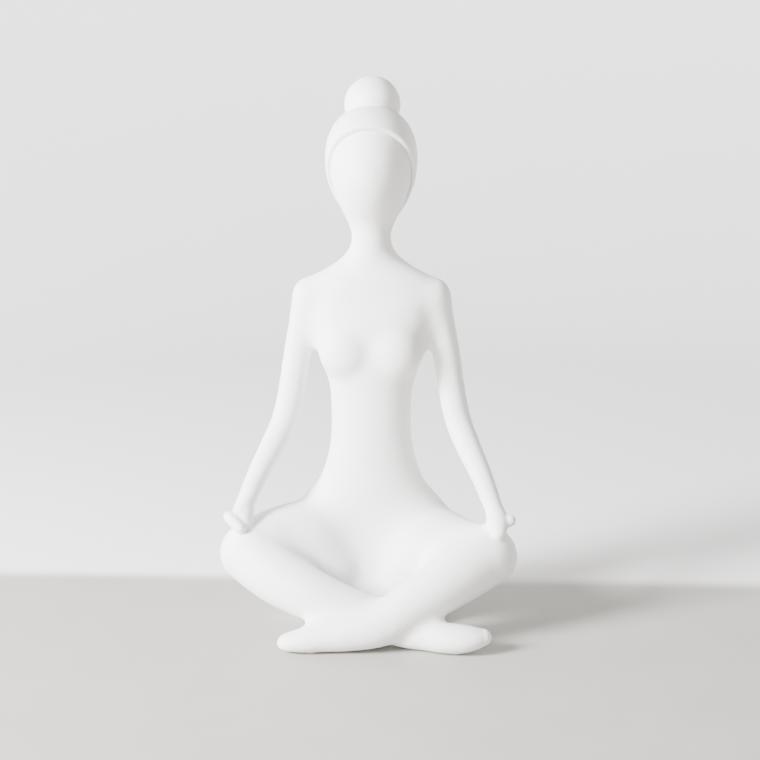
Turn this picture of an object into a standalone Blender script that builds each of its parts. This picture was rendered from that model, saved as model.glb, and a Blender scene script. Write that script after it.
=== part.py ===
"""Seated yoga figurine, cast in pieces that are pinned and glued together and sprayed white.

Units are metres. +Z is up, the figure faces -Y and sits on the plane z = 0, with the origin
under the middle of its footprint. Its own right-hand side is at -X.
"""

import math

import bmesh
import bpy
from mathutils import Matrix, Vector

# Heights, each measured from the one before it
HIP_HEIGHT = 0.178  # table to the narrow of the waist
BACK_LENGTH = 0.1245  # waist to the middle of the shoulders
NECK_LENGTH = 0.0495  # shoulders to the joint under the head
HEAD_HEIGHT = 0.119  # that joint to the crown

# Torso, widths across X
SEAT_WIDTH = 0.156
WAIST_WIDTH = 0.075
CHEST_WIDTH = 0.108
NECK_WIDTH = 0.0366
WAIST_DEPTH = 0.050
SPINE_Y = 0.028  # how far the trunk stands behind the origin
BREAST_RADII = (0.0245, 0.0180, 0.0255)
BREAST_SPACING = 0.043
BREAST_RISE = 0.0735  # bust above the waist
BREAST_SET_BACK = 0.007  # their middle behind the front of the ribs

# Head, hair and bun
HEAD_WIDTH = 0.077
HEAD_DEPTH = 0.090
HEAD_SET_BACK = 0.004  # the head's middle behind the spine
HAIR_THICKNESS = 0.0032
HAIRLINE_RISE = 0.1035  # hairline above the joint under the head
HAIRLINE_REACH = 0.8  # how far forward, as a share of half the head's depth
HAIRLINE_LEAN = math.radians(32)  # of the hairline's plane from upright
NAPE_RISE = 0.022  # lower edge of the hair above the same joint
BUN_RADIUS = 0.0255
BUN_SET_BACK = 0.018  # the bun's middle behind the head's
BUN_RISE = 0.0035  # the bun's centre above the crown

# Arms
SHOULDER_OUT = 0.002  # the shoulder's centre outside the chest
SHOULDER_RADIUS = 0.0175
UPPER_ARM_RADIUS = 0.0134
WRIST_RADIUS = 0.0096
ELBOW_OUT = 0.025  # the elbow outside the shoulder
FOREARM_RISE = 0.0795  # hand up to the elbow
HAND_OUT = 0.0105  # the hand's centre outside the knee's
HAND_LIFT = 0.0055  # the hand's centre above the top of the knee
WRIST_IN = 0.006  # the wrist inside the hand
HAND_RADII = (0.0112, 0.0120, 0.0100)
THUMB_RADIUS = 0.0056
THUMB_REACH = 0.0100  # thumb knob's centre outward from the hand's

# Legs
KNEE_X = 0.1075
KNEE_Y = -0.019
KNEE_Z = 0.0715
KNEE_RADIUS = 0.0285
THIGH_RADIUS = 0.046
ANKLE_RADIUS = 0.014
RIGHT_TOE_X = 0.112  # the right foot comes out on the figure's left
LEFT_TOE_X = -0.082
HIP_JOINT_X = 0.052  # plane where each leg is glued on

# Base, joints and fastenings
FELT_THICKNESS = 0.0015
FELT_INSET = 0.002
PLATE_THICKNESS = 0.003
BASE_WIDTH = 0.132
BASE_DEPTH = 0.112
BASE_FORWARD = 0.004  # the base's middle in front of the spine
RIM_WIDTH = 0.010
WALL = 0.006
CAVITY_WIDTH = 0.064
CAVITY_DROP = 0.0175  # top of the hollow below the shoulders
PLATE_LEDGE = 0.004  # resin round the hollow that the plate seats on
JOINT_GAP = 0.0003
PIN_CLEARANCE = 0.0002
NECK_PIN_RADIUS = 0.003
NECK_PIN_DEPTH = 0.024
BUN_PIN_RADIUS = 0.002
BUN_PIN_DEPTH = 0.014
WIRE_RADIUS = 0.0015
WIRE_ANCHOR = 0.011
DOWEL_RADIUS = 0.004
DOWEL_DEPTH = 0.010
DOWEL_PLACES = ((0.020, -0.0255), (-0.016, -0.0015))  # from the spine's y and the knee's z
SHIN_PIN_RADIUS = 0.0025
SHIN_PIN_DEPTH = 0.008
PLUG_RADIUS = 0.009
PLUG_FLANGE = 0.003
FOOT_PAD_RADIUS = 0.005

FLOOR = FELT_THICKNESS + JOINT_GAP  # underside of every casting
SHOULDER_Z = HIP_HEIGHT + BACK_LENGTH
NECK_JOINT_Z = SHOULDER_Z + NECK_LENGTH
CROWN_Z = NECK_JOINT_Z + HEAD_HEIGHT
HEAD_Y = SPINE_Y + HEAD_SET_BACK
BASE_Y = SPINE_Y - BASE_FORWARD
SHOULDER_X = CHEST_WIDTH / 2 + SHOULDER_OUT
HAND = (KNEE_X + HAND_OUT, KNEE_Y - 0.004, KNEE_Z + KNEE_RADIUS + HAND_LIFT)
RIGHT = -1
LEFT = 1


# ---------------------------------------------------------------- helpers


def clear_scene():
    for obj in list(bpy.data.objects):
        bpy.data.objects.remove(obj)


def linear(hex_colour):
    """Linear RGBA of an sRGB hex colour."""
    channels = [int(hex_colour[i : i + 2], 16) / 255 for i in (1, 3, 5)]
    return [c / 12.92 if c <= 0.04045 else ((c + 0.055) / 1.055) ** 2.4 for c in channels] + [1.0]


def material(name, hex_colour, roughness, metallic=0.0):
    made = bpy.data.materials.new(name)
    made.use_nodes = True
    shader = made.node_tree.nodes["Principled BSDF"]
    shader.inputs["Base Color"].default_value = linear(hex_colour)
    shader.inputs["Roughness"].default_value = roughness
    shader.inputs["Metallic"].default_value = metallic
    return made


def new_object(name, bm, finish=None):
    """An object from a bmesh with its normals set outward and its round faces shaded smooth."""
    bmesh.ops.remove_doubles(bm, verts=bm.verts, dist=1e-6)
    bmesh.ops.recalc_face_normals(bm, faces=bm.faces)
    mesh = bpy.data.meshes.new(name)
    bm.to_mesh(mesh)
    bm.free()
    mesh.shade_smooth()
    mesh.set_sharp_from_angle(angle=math.radians(40))
    obj = bpy.data.objects.new(name, mesh)
    bpy.context.collection.objects.link(obj)
    if finish:
        mesh.materials.append(finish)
    return obj


def helper(bm):
    """A hidden object that other pieces are joined with, or cut by."""
    obj = new_object("helper", bm)
    obj.hide_render = True
    obj.display_type = "WIRE"
    return obj


def combine(obj, operation, *others):
    """Joins obj with the others, cuts them from it or keeps what it shares with them, for good."""
    for other in others:
        modifier = obj.modifiers.new("joint", "BOOLEAN")
        modifier.operation = operation
        modifier.solver = "EXACT"
        modifier.object = other
        graph = bpy.context.evaluated_depsgraph_get()
        mesh = bpy.data.meshes.new_from_object(obj.evaluated_get(graph))
        obj.modifiers.clear()
        obj.data = mesh
    return obj


def copy_of(obj):
    made = obj.copy()
    made.data = obj.data.copy()
    bpy.context.collection.objects.link(made)
    return made


def named(obj, name, finish):
    """Turns a finished helper into a piece of the object."""
    obj.name = name
    obj.hide_render = False
    obj.display_type = "TEXTURED"
    obj.data.name = name
    obj.data.materials.clear()
    obj.data.materials.append(finish)
    obj.data.shade_smooth()
    obj.data.set_sharp_from_angle(angle=math.radians(40))
    return obj


def smooth_rows(rows, steps):
    """Rows of numbers eased between the given ones, as a Catmull-Rom curve through them."""
    eased = []
    for i in range(len(rows) - 1):
        before = rows[max(i - 1, 0)]
        after = rows[min(i + 2, len(rows) - 1)]
        for step in range(steps):
            t = step / steps
            eased.append([catmull(t, *values) for values in zip(before, rows[i], rows[i + 1], after)])
    eased.append(list(rows[-1]))
    return eased


def catmull(t, p0, p1, p2, p3):
    bend = (2 * p0 - 5 * p1 + 4 * p2 - p3) * t + (3 * (p1 - p2) + p3 - p0) * t * t
    return p1 + 0.5 * t * (p2 - p0 + bend)


def sleeve(segments, rings):
    """A closed upright sleeve of the given rings, whose points the callers move into place."""
    bm = bmesh.new()
    bmesh.ops.create_circle(bm, cap_ends=True, segments=segments, radius=1)
    edges = list(bm.edges)
    for _ in range(rings - 1):
        grown = bmesh.ops.extrude_edge_only(bm, edges=edges)["geom"]
        points = [g for g in grown if isinstance(g, bmesh.types.BMVert)]
        bmesh.ops.translate(bm, verts=points, vec=(0, 0, 1))
        edges = [e for e in grown if isinstance(e, bmesh.types.BMEdge) and is_open(e)]
    bmesh.ops.edgeloop_fill(bm, edges=edges)
    return bm


def is_open(edge):
    return len(edge.link_faces) == 1


def stack(rows, segments, grow=0.0):
    """A body of oval sections: each row is its height, half width, front y and back y."""
    bm = sleeve(segments, len(rows))
    for vert in bm.verts:
        height, half_width, front, back = rows[round(vert.co.z)]
        middle = (front + back) / 2
        half_depth = (back - front) / 2
        vert.co = (vert.co.x * (half_width + grow), middle + vert.co.y * (half_depth + grow), height)
    return bm


def limb(rows, segments, up, grow=0.0):
    """A limb along a curve: each row is a point, its half width and its half height."""
    rows = rounded_ends(rows)
    centres = [Vector(row[:3]) for row in rows]
    bm = sleeve(segments, len(rows))
    for vert in bm.verts:
        i = round(vert.co.z)
        along = (centres[min(i + 1, len(rows) - 1)] - centres[max(i - 1, 0)]).normalized()
        side = along.cross(Vector(up)).normalized()
        over = side.cross(along)
        half_width = rows[i][3] + grow
        half_height = rows[i][4] + grow
        vert.co = centres[i] + side * vert.co.x * half_width + over * vert.co.y * half_height
    return bm


def rounded_ends(rows):
    """Extra rows past each end, so that the limb closes in a dome."""
    turns = [math.radians(a) for a in (80, 60, 35)]
    first = [dome_row(rows[0], rows[1], a) for a in turns]
    last = [dome_row(rows[-1], rows[-2], a) for a in reversed(turns)]
    return first + rows + last


def dome_row(end, inner, angle):
    outward = (Vector(end[:3]) - Vector(inner[:3])).normalized()
    reach = min(end[3], end[4]) * math.sin(angle)
    return [*(Vector(end[:3]) + outward * reach), end[3] * math.cos(angle), end[4] * math.cos(angle)]


def ball(centre, radii, segments=24, rings=16):
    bm = bmesh.new()
    bmesh.ops.create_uvsphere(bm, u_segments=segments, v_segments=rings, radius=1)
    bmesh.ops.scale(bm, verts=bm.verts, vec=radii)
    bmesh.ops.translate(bm, verts=bm.verts, vec=centre)
    return bm


def rod(start, end, radius, segments=16):
    """A round bar between two points."""
    start = Vector(start)
    end = Vector(end)
    turn = (end - start).to_track_quat("Z", "Y").to_matrix().to_4x4()
    bm = bmesh.new()
    bmesh.ops.create_cone(
        bm,
        cap_ends=True,
        segments=segments,
        radius1=radius,
        radius2=radius,
        depth=(end - start).length,
        matrix=Matrix.Translation((start + end) / 2) @ turn,
    )
    return bm


def box(low, high):
    bm = bmesh.new()
    bmesh.ops.create_cube(bm, size=1)
    bmesh.ops.scale(bm, verts=bm.verts, vec=Vector(high) - Vector(low))
    bmesh.ops.translate(bm, verts=bm.verts, vec=(Vector(low) + Vector(high)) / 2)
    return bm


def slab(half_width, half_depth, low, high, segments=40):
    """A flat oval plate, centred on the base."""
    bm = rod((0, 0, low), (0, 0, high), 1, segments)
    for vert in bm.verts:
        vert.co.x *= half_width
        vert.co.y = BASE_Y + vert.co.y * half_depth
    return bm


def wire(rows, radius):
    """A bent wire of one thickness along the given points."""
    curve = bpy.data.curves.new("wire", "CURVE")
    curve.dimensions = "3D"
    curve.bevel_depth = radius
    curve.bevel_resolution = 2
    curve.use_fill_caps = True
    spline = curve.splines.new("POLY")
    spline.points.add(len(rows) - 1)
    for point, row in zip(spline.points, rows):
        point.co = (*row[:3], 1)
    obj = bpy.data.objects.new("wire", curve)
    bpy.context.collection.objects.link(obj)
    return obj


def wire_cutter(rows, radius):
    """The channel that a bent wire lies in, as a hidden mesh."""
    curve = wire(rows, radius)
    graph = bpy.context.evaluated_depsgraph_get()
    bm = bmesh.new()
    bm.from_mesh(bpy.data.meshes.new_from_object(curve.evaluated_get(graph)))
    bpy.data.objects.remove(curve)
    return helper(bm)


# ---------------------------------------------------------------- shapes


def trunk_rows():
    """The trunk from the seat to the joint under the head."""
    seat = SEAT_WIDTH / 2
    waist = WAIST_WIDTH / 2
    chest = CHEST_WIDTH / 2
    neck = NECK_WIDTH / 2
    belly = SPINE_Y - WAIST_DEPTH / 2
    loin = SPINE_Y + WAIST_DEPTH / 2
    hip = HIP_HEIGHT - FLOOR
    rows = [
        (FLOOR, BASE_WIDTH / 2, BASE_Y - BASE_DEPTH / 2, BASE_Y + BASE_DEPTH / 2),
        (FLOOR + 0.07 * hip, 0.95 * seat, belly - 0.040, loin + 0.033),
        (FLOOR + 0.17 * hip, seat, belly - 0.043, loin + 0.037),
        (FLOOR + 0.28 * hip, 0.97 * seat, belly - 0.030, loin + 0.036),
        (FLOOR + 0.40 * hip, 0.88 * seat, belly - 0.014, loin + 0.030),
        (FLOOR + 0.54 * hip, 0.86 * seat, belly - 0.005, loin + 0.021),
        (FLOOR + 0.62 * hip, 0.77 * seat, belly - 0.003, loin + 0.015),
        (FLOOR + 0.70 * hip, 1.37 * waist, belly - 0.002, loin + 0.009),
        (FLOOR + 0.78 * hip, 1.19 * waist, belly - 0.001, loin + 0.005),
        (FLOOR + 0.89 * hip, 1.05 * waist, belly, loin + 0.001),
        (HIP_HEIGHT, waist, belly, loin),
        (HIP_HEIGHT + 0.18 * BACK_LENGTH, waist, belly, loin),
        (HIP_HEIGHT + 0.36 * BACK_LENGTH, 1.05 * waist, belly - 0.001, loin + 0.002),
        (HIP_HEIGHT + 0.55 * BACK_LENGTH, 0.89 * chest, belly - 0.004, loin + 0.006),
        (HIP_HEIGHT + 0.72 * BACK_LENGTH, 0.98 * chest, belly - 0.004, loin + 0.008),
        (HIP_HEIGHT + 0.88 * BACK_LENGTH, chest, belly, loin + 0.008),
        (SHOULDER_Z, 1.08 * chest, belly + 0.005, loin + 0.005),
        (SHOULDER_Z + 0.28 * NECK_LENGTH, 1.08 * chest, belly + 0.010, loin + 0.002),
        (SHOULDER_Z + 0.38 * NECK_LENGTH, chest, belly + 0.0108, loin + 0.001),
        (SHOULDER_Z + 0.48 * NECK_LENGTH, 2.38 * neck, belly + 0.0115, loin),
        (SHOULDER_Z + 0.66 * NECK_LENGTH, 1.62 * neck, belly + 0.012, loin - 0.001),
        (SHOULDER_Z + 0.83 * NECK_LENGTH, 1.19 * neck, belly + 0.012, loin - 0.002),
        (NECK_JOINT_Z, neck, SPINE_Y + 0.003 - neck, SPINE_Y + 0.004 + neck),
    ]
    return smooth_rows(rows, 2)


def cavity_rows():
    """The hollow inside the trunk, open at the seat."""
    cavity_top = SHOULDER_Z - CAVITY_DROP
    top = cavity_top - FLOOR
    half = CAVITY_WIDTH / 2
    front = SPINE_Y - WAIST_DEPTH / 2 + WALL
    back = SPINE_Y + WAIST_DEPTH / 2 - WALL
    waist = WAIST_WIDTH / 2 - WALL
    ledge = BASE_Y + BASE_DEPTH / 2 - RIM_WIDTH - PLATE_LEDGE
    rows = [
        (FLOOR - 0.010, half, front - 0.012, ledge),
        (FLOOR + 0.10 * top, half, front - 0.012, ledge),
        (FLOOR + 0.30 * top, half, front - 0.002, back + 0.018),
        (FLOOR + 0.50 * top, waist, front, back),
        (FLOOR + 0.78 * top, waist, front, back),
        (FLOOR + 0.93 * top, waist, front + 0.004, back),
        (cavity_top, 0.4 * waist, SPINE_Y - 0.008, SPINE_Y + 0.008),
    ]
    return smooth_rows(rows, 2)


def head_rows():
    """The blank, egg-shaped head on its length of neck."""
    half = HEAD_WIDTH / 2
    deep = HEAD_DEPTH / 2
    neck = NECK_WIDTH / 2
    neck_y = SPINE_Y + 0.0035
    rows = [
        (NECK_JOINT_Z, neck, neck_y - neck, neck_y + neck),
        (NECK_JOINT_Z + 0.07 * HEAD_HEIGHT, neck, neck_y - neck, neck_y + neck),
        (NECK_JOINT_Z + 0.145 * HEAD_HEIGHT, 0.56 * half, HEAD_Y - 0.50 * deep, HEAD_Y + 0.56 * deep),
        (NECK_JOINT_Z + 0.22 * HEAD_HEIGHT, 0.67 * half, HEAD_Y - 0.78 * deep, HEAD_Y + 0.72 * deep),
        (NECK_JOINT_Z + 0.33 * HEAD_HEIGHT, 0.82 * half, HEAD_Y - 0.92 * deep, HEAD_Y + 0.87 * deep),
        (NECK_JOINT_Z + 0.46 * HEAD_HEIGHT, 0.95 * half, HEAD_Y - deep, HEAD_Y + 0.97 * deep),
        (NECK_JOINT_Z + 0.60 * HEAD_HEIGHT, half, HEAD_Y - deep, HEAD_Y + deep),
        (NECK_JOINT_Z + 0.74 * HEAD_HEIGHT, 0.955 * half, HEAD_Y - 0.92 * deep, HEAD_Y + 0.95 * deep),
        (NECK_JOINT_Z + 0.86 * HEAD_HEIGHT, 0.79 * half, HEAD_Y - 0.72 * deep, HEAD_Y + 0.79 * deep),
        (NECK_JOINT_Z + 0.94 * HEAD_HEIGHT, 0.55 * half, HEAD_Y - 0.48 * deep, HEAD_Y + 0.56 * deep),
        (NECK_JOINT_Z + 0.985 * HEAD_HEIGHT, 0.28 * half, HEAD_Y - 0.24 * deep, HEAD_Y + 0.30 * deep),
        (CROWN_Z, 0.06 * half, HEAD_Y - 0.04 * deep, HEAD_Y + 0.08 * deep),
    ]
    return smooth_rows(rows, 2)


def grown_head(grow):
    """The head's form, larger all round by the given amount."""
    bm = stack(head_rows(), 24, grow)
    lift = (HEAD_HEIGHT + grow) / HEAD_HEIGHT
    for vert in bm.verts:
        vert.co.z = NECK_JOINT_Z + (vert.co.z - NECK_JOINT_Z) * lift
    return helper(bm)


def arm_rows(side):
    """Shoulder, elbow and wrist, down to the hand."""
    shoulder_y = SPINE_Y + 0.002
    elbow_x = SHOULDER_X + ELBOW_OUT
    elbow_z = HAND[2] + FOREARM_RISE
    wrist_x = HAND[0] - WRIST_IN
    wrist_y = HAND[1] + 0.011
    wrist_z = HAND[2] + 0.0135
    rows = [
        (SHOULDER_X, shoulder_y, SHOULDER_Z, SHOULDER_RADIUS),
        (SHOULDER_X + 0.24 * ELBOW_OUT, shoulder_y, SHOULDER_Z - 0.026, 1.13 * UPPER_ARM_RADIUS),
        (SHOULDER_X + 0.50 * ELBOW_OUT, shoulder_y + 0.001, SHOULDER_Z - 0.052, UPPER_ARM_RADIUS),
        (elbow_x - 0.006, SPINE_Y + 0.003, elbow_z + 0.025, 0.98 * UPPER_ARM_RADIUS),
        (elbow_x, SPINE_Y, elbow_z, 0.96 * UPPER_ARM_RADIUS),
        (elbow_x + 0.009, SPINE_Y - 0.010, elbow_z - 0.020, 0.92 * UPPER_ARM_RADIUS),
        (wrist_x - 0.0095, wrist_y + 0.014, wrist_z + 0.022, 1.12 * WRIST_RADIUS),
        (wrist_x, wrist_y, wrist_z, WRIST_RADIUS),
        (*HAND, 0.9 * WRIST_RADIUS),
    ]
    return smooth_rows([(side * x, y, z, r, r) for x, y, z, r in rows], 2)


def thigh_rows(side):
    reach = KNEE_X - 0.038
    rows = [
        (0.030, SPINE_Y, 1.13 * THIGH_RADIUS, 1.02 * THIGH_RADIUS),
        (0.038 + 0.33 * reach, SPINE_Y - 0.010, KNEE_Z - 0.005, 0.93 * THIGH_RADIUS),
        (0.038 + 0.70 * reach, KNEE_Y + 0.020, KNEE_Z + 0.001, 0.76 * THIGH_RADIUS),
        (KNEE_X, KNEE_Y, KNEE_Z, KNEE_RADIUS),
    ]
    return smooth_rows([(side * x, y, z, r, r) for x, y, z, r in rows], 3)


def right_shin_rows():
    """The shin that crosses behind, from the right knee to the foot on the figure's left."""
    drop = KNEE_Z - ANKLE_RADIUS
    rows = [
        (-KNEE_X, KNEE_Y, KNEE_Z, KNEE_RADIUS, KNEE_RADIUS),
        (-0.745 * KNEE_X, KNEE_Y - 0.018, KNEE_Z - 0.28 * drop, 0.92 * KNEE_RADIUS, 0.92 * KNEE_RADIUS),
        (-0.465 * KNEE_X, KNEE_Y - 0.031, KNEE_Z - 0.505 * drop, 0.0232, 0.0232),
        (-0.185 * KNEE_X, KNEE_Y - 0.0365, KNEE_Z - 0.695 * drop, 0.0208, 0.0208),
        (0.075 * KNEE_X, KNEE_Y - 0.039, KNEE_Z - 0.825 * drop, 0.0180, 0.0180),
        (0.315 * KNEE_X, KNEE_Y - 0.046, KNEE_Z - 0.955 * drop, 1.12 * ANKLE_RADIUS, 1.12 * ANKLE_RADIUS),
        (0.50 * KNEE_X, KNEE_Y - 0.051, ANKLE_RADIUS, ANKLE_RADIUS, ANKLE_RADIUS),
        (RIGHT_TOE_X - 0.040, KNEE_Y - 0.0555, FLOOR + 0.0114, 0.0152, 0.0134),
        (RIGHT_TOE_X - 0.024, KNEE_Y - 0.0590, FLOOR + 0.0114, 0.0155, 0.0130),
        (RIGHT_TOE_X - 0.0105, KNEE_Y - 0.0605, FLOOR + 0.0114, 0.0130, 0.0110),
    ]
    return smooth_rows(rows, 2)


def left_shin_rows():
    """The shin that crosses in front, from the left knee to the foot on the figure's right."""
    drop = KNEE_Z - ANKLE_RADIUS
    rows = [
        (KNEE_X - 0.002, KNEE_Y, KNEE_Z, KNEE_RADIUS, KNEE_RADIUS),
        (0.715 * KNEE_X, KNEE_Y - 0.0220, KNEE_Z - 0.26 * drop, 0.91 * KNEE_RADIUS, 0.91 * KNEE_RADIUS),
        (0.428 * KNEE_X, KNEE_Y - 0.0405, KNEE_Z - 0.54 * drop, 0.0222, 0.0222),
        (0.149 * KNEE_X, KNEE_Y - 0.0525, KNEE_Z - 0.825 * drop, 0.0198, 0.0198),
        (-0.130 * KNEE_X, KNEE_Y - 0.0575, KNEE_Z - 0.94 * drop, 0.0175, 0.0170),
        (-0.353 * KNEE_X, KNEE_Y - 0.0605, ANKLE_RADIUS, 1.04 * ANKLE_RADIUS, ANKLE_RADIUS),
        (LEFT_TOE_X + 0.027, KNEE_Y - 0.0625, FLOOR + 0.0097, 0.0140, 0.0118),
        (LEFT_TOE_X + 0.014, KNEE_Y - 0.0635, FLOOR + 0.0080, 0.0124, 0.0094),
        (LEFT_TOE_X + 0.007, KNEE_Y - 0.0635, FLOOR + 0.0072, 0.0104, 0.0078),
    ]
    return smooth_rows(rows, 2)


def lower_body():
    """Trunk and thighs as one form, before the joints are cut."""
    body = helper(stack(trunk_rows(), 28))
    combine(body, "UNION", helper(limb(thigh_rows(RIGHT), 20, (0, 0, 1))))
    combine(body, "UNION", helper(limb(thigh_rows(LEFT), 20, (0, 0, 1))))
    return body


def hip_box(side, offset):
    """Everything outside one hip joint's plane, moved outward by the offset."""
    inner = side * (HIP_JOINT_X + offset)
    outer = side * (KNEE_X + 2 * KNEE_RADIUS)
    low = (min(inner, outer), -1, -1)
    high = (max(inner, outer), 1, 0.815 * HIP_HEIGHT)
    return helper(box(low, high))


def floor_box():
    """Everything lower than the castings may reach."""
    return helper(box((-1, -1, -1), (1, 1, FLOOR)))


# ---------------------------------------------------------------- fastenings


def neck_pin_line():
    axis = (0, SPINE_Y + 0.0035)
    return (*axis, NECK_JOINT_Z - NECK_PIN_DEPTH), (*axis, NECK_JOINT_Z + NECK_PIN_DEPTH)


def bun_centre():
    return Vector((0, HEAD_Y + BUN_SET_BACK, CROWN_Z + BUN_RISE))


def bun_pin_line():
    """From inside the head to inside the bun, square to the crown between them."""
    top = bun_centre()
    lean = (top - Vector((0, HEAD_Y, CROWN_Z - HEAD_DEPTH / 2))).normalized()
    return top - lean * 2 * BUN_PIN_DEPTH, top


def arm_wire_rows(side):
    """The armature wire: out of the trunk, down the arm's middle and into the knee."""
    inner = arm_rows(side)[1:]
    shoulder = Vector(inner[0][:3])
    hand = Vector(inner[-1][:3])
    knee = Vector((side * KNEE_X, KNEE_Y, KNEE_Z))
    into_trunk = shoulder + Vector((-side * (SHOULDER_RADIUS + WIRE_ANCHOR), 0, 0))
    into_knee = hand + (knee - hand).normalized() * (HAND_RADII[2] + WIRE_ANCHOR)
    return [tuple(into_trunk), tuple(shoulder), *[row[:3] for row in inner[2::2]], tuple(into_knee)]


def dowel_lines(side):
    inner = side * (HIP_JOINT_X - DOWEL_DEPTH)
    outer = side * (HIP_JOINT_X + DOWEL_DEPTH)
    places = [(SPINE_Y + back, KNEE_Z + up) for back, up in DOWEL_PLACES]
    return [((inner, y, z), (outer, y, z)) for y, z in places]


def shin_pin_line():
    """Across the saddle where the front shin lies in the back one."""
    row = left_shin_rows()[7]
    front = Vector(row[:3])
    back = Vector(right_shin_rows()[7][:3])
    along = (back - front).normalized()
    saddle = front + along * row[3]
    return saddle - along * SHIN_PIN_DEPTH, saddle + along * SHIN_PIN_DEPTH


def bore(line, radius):
    """A hole for a pin on the given line, longer than the pin by the clearance at each end."""
    start, end = Vector(line[0]), Vector(line[1])
    spare = (end - start).normalized() * PIN_CLEARANCE
    return helper(rod(start - spare, end + spare, radius + PIN_CLEARANCE))


# ---------------------------------------------------------------- pieces


def make_body(resin):
    """Torso and both legs."""
    body = lower_body()
    torso = copy_of(body)
    for side in (RIGHT, LEFT):
        combine(torso, "DIFFERENCE", hip_box(side, -JOINT_GAP / 2))
        breast_y = SPINE_Y - WAIST_DEPTH / 2 + BREAST_SET_BACK
        centre = (side * BREAST_SPACING / 2, breast_y, HIP_HEIGHT + BREAST_RISE)
        combine(torso, "UNION", helper(ball(centre, BREAST_RADII, 20, 12)))
    combine(torso, "DIFFERENCE", helper(limb(right_shin_rows(), 18, (0, 0, 1), JOINT_GAP)))
    combine(torso, "DIFFERENCE", helper(limb(left_shin_rows(), 18, (0, 0, 1), JOINT_GAP)))
    combine(torso, "DIFFERENCE", helper(stack(cavity_rows(), 16)))
    combine(torso, "DIFFERENCE", bore(neck_pin_line(), NECK_PIN_RADIUS))

    right_leg = combine(copy_of(body), "INTERSECT", hip_box(RIGHT, JOINT_GAP / 2))
    combine(right_leg, "UNION", helper(limb(right_shin_rows(), 18, (0, 0, 1))))
    combine(right_leg, "DIFFERENCE", helper(limb(left_shin_rows(), 18, (0, 0, 1), JOINT_GAP)))
    left_leg = combine(body, "INTERSECT", hip_box(LEFT, JOINT_GAP / 2))
    combine(left_leg, "UNION", helper(limb(left_shin_rows(), 18, (0, 0, 1))))
    for leg, side in ((right_leg, RIGHT), (left_leg, LEFT)):
        combine(leg, "DIFFERENCE", floor_box())
        combine(leg, "DIFFERENCE", bore(shin_pin_line(), SHIN_PIN_RADIUS))
        combine(leg, "DIFFERENCE", wire_cutter(arm_wire_rows(side), WIRE_RADIUS + PIN_CLEARANCE))
        for line in dowel_lines(side):
            hole = bore(line, DOWEL_RADIUS)
            combine(leg, "DIFFERENCE", hole)
            combine(torso, "DIFFERENCE", hole)
    named(right_leg, "right_leg", resin)
    named(left_leg, "left_leg", resin)
    return named(torso, "torso", resin)


def make_arm(name, side, torso, resin):
    """An arm with its hand, let into the shoulder and resting on the knee."""
    rows = arm_rows(side)
    arm = helper(limb(rows, 14, (0, 1, 0)))
    hand = (side * HAND[0], HAND[1], HAND[2])
    thumb = (side * (HAND[0] + THUMB_REACH), HAND[1] - 0.001, HAND[2] + 0.001)
    combine(arm, "UNION", helper(ball(hand, HAND_RADII, 16, 12)))
    combine(arm, "UNION", helper(ball(thumb, [THUMB_RADIUS] * 3, 12, 8)))
    shoulder = helper(limb(rows, 14, (0, 1, 0), JOINT_GAP))
    combine(torso, "DIFFERENCE", shoulder)
    knee = helper(limb(thigh_rows(side), 20, (0, 0, 1), JOINT_GAP))
    shin = left_shin_rows() if side == LEFT else right_shin_rows()
    combine(arm, "DIFFERENCE", knee)
    combine(arm, "DIFFERENCE", helper(limb(shin, 18, (0, 0, 1), JOINT_GAP)))
    channel = wire_cutter(arm_wire_rows(side), WIRE_RADIUS + PIN_CLEARANCE)
    combine(arm, "DIFFERENCE", channel)
    combine(torso, "DIFFERENCE", channel)
    return named(arm, name, resin)


def make_head(resin):
    head = helper(stack(head_rows(), 24))
    gap = helper(box((-1, -1, NECK_JOINT_Z - 1), (1, 1, NECK_JOINT_Z + JOINT_GAP)))
    combine(head, "DIFFERENCE", gap)
    combine(head, "DIFFERENCE", bore(neck_pin_line(), NECK_PIN_RADIUS))
    combine(head, "DIFFERENCE", bore(bun_pin_line(), BUN_PIN_RADIUS))
    return named(head, "head", resin)


def make_hair_cap(resin):
    """A skull-tight shell, behind the hairline and above the nape."""
    cap = grown_head(HAIR_THICKNESS)
    face = box((-1, -1, -1), (1, 0, 1))
    lean = Matrix.Rotation(HAIRLINE_LEAN, 4, "X")
    hairline_y = HEAD_Y - HAIRLINE_REACH * HEAD_DEPTH / 2
    place = Matrix.Translation((0, hairline_y, NECK_JOINT_Z + HAIRLINE_RISE))
    bmesh.ops.transform(face, matrix=place @ lean, verts=face.verts)
    combine(cap, "DIFFERENCE", grown_head(JOINT_GAP))
    combine(cap, "DIFFERENCE", helper(face))
    combine(cap, "DIFFERENCE", helper(box((-1, -1, -1), (1, 1, NECK_JOINT_Z + NAPE_RISE))))
    combine(cap, "DIFFERENCE", bore(bun_pin_line(), BUN_PIN_RADIUS))
    return named(cap, "hair_cap", resin)


def make_hair_bun(resin):
    bun = helper(ball(bun_centre(), [BUN_RADIUS] * 3, 24, 14))
    combine(bun, "DIFFERENCE", grown_head(HAIR_THICKNESS + JOINT_GAP))
    combine(bun, "DIFFERENCE", bore(bun_pin_line(), BUN_PIN_RADIUS))
    return named(bun, "hair_bun", resin)


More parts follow.
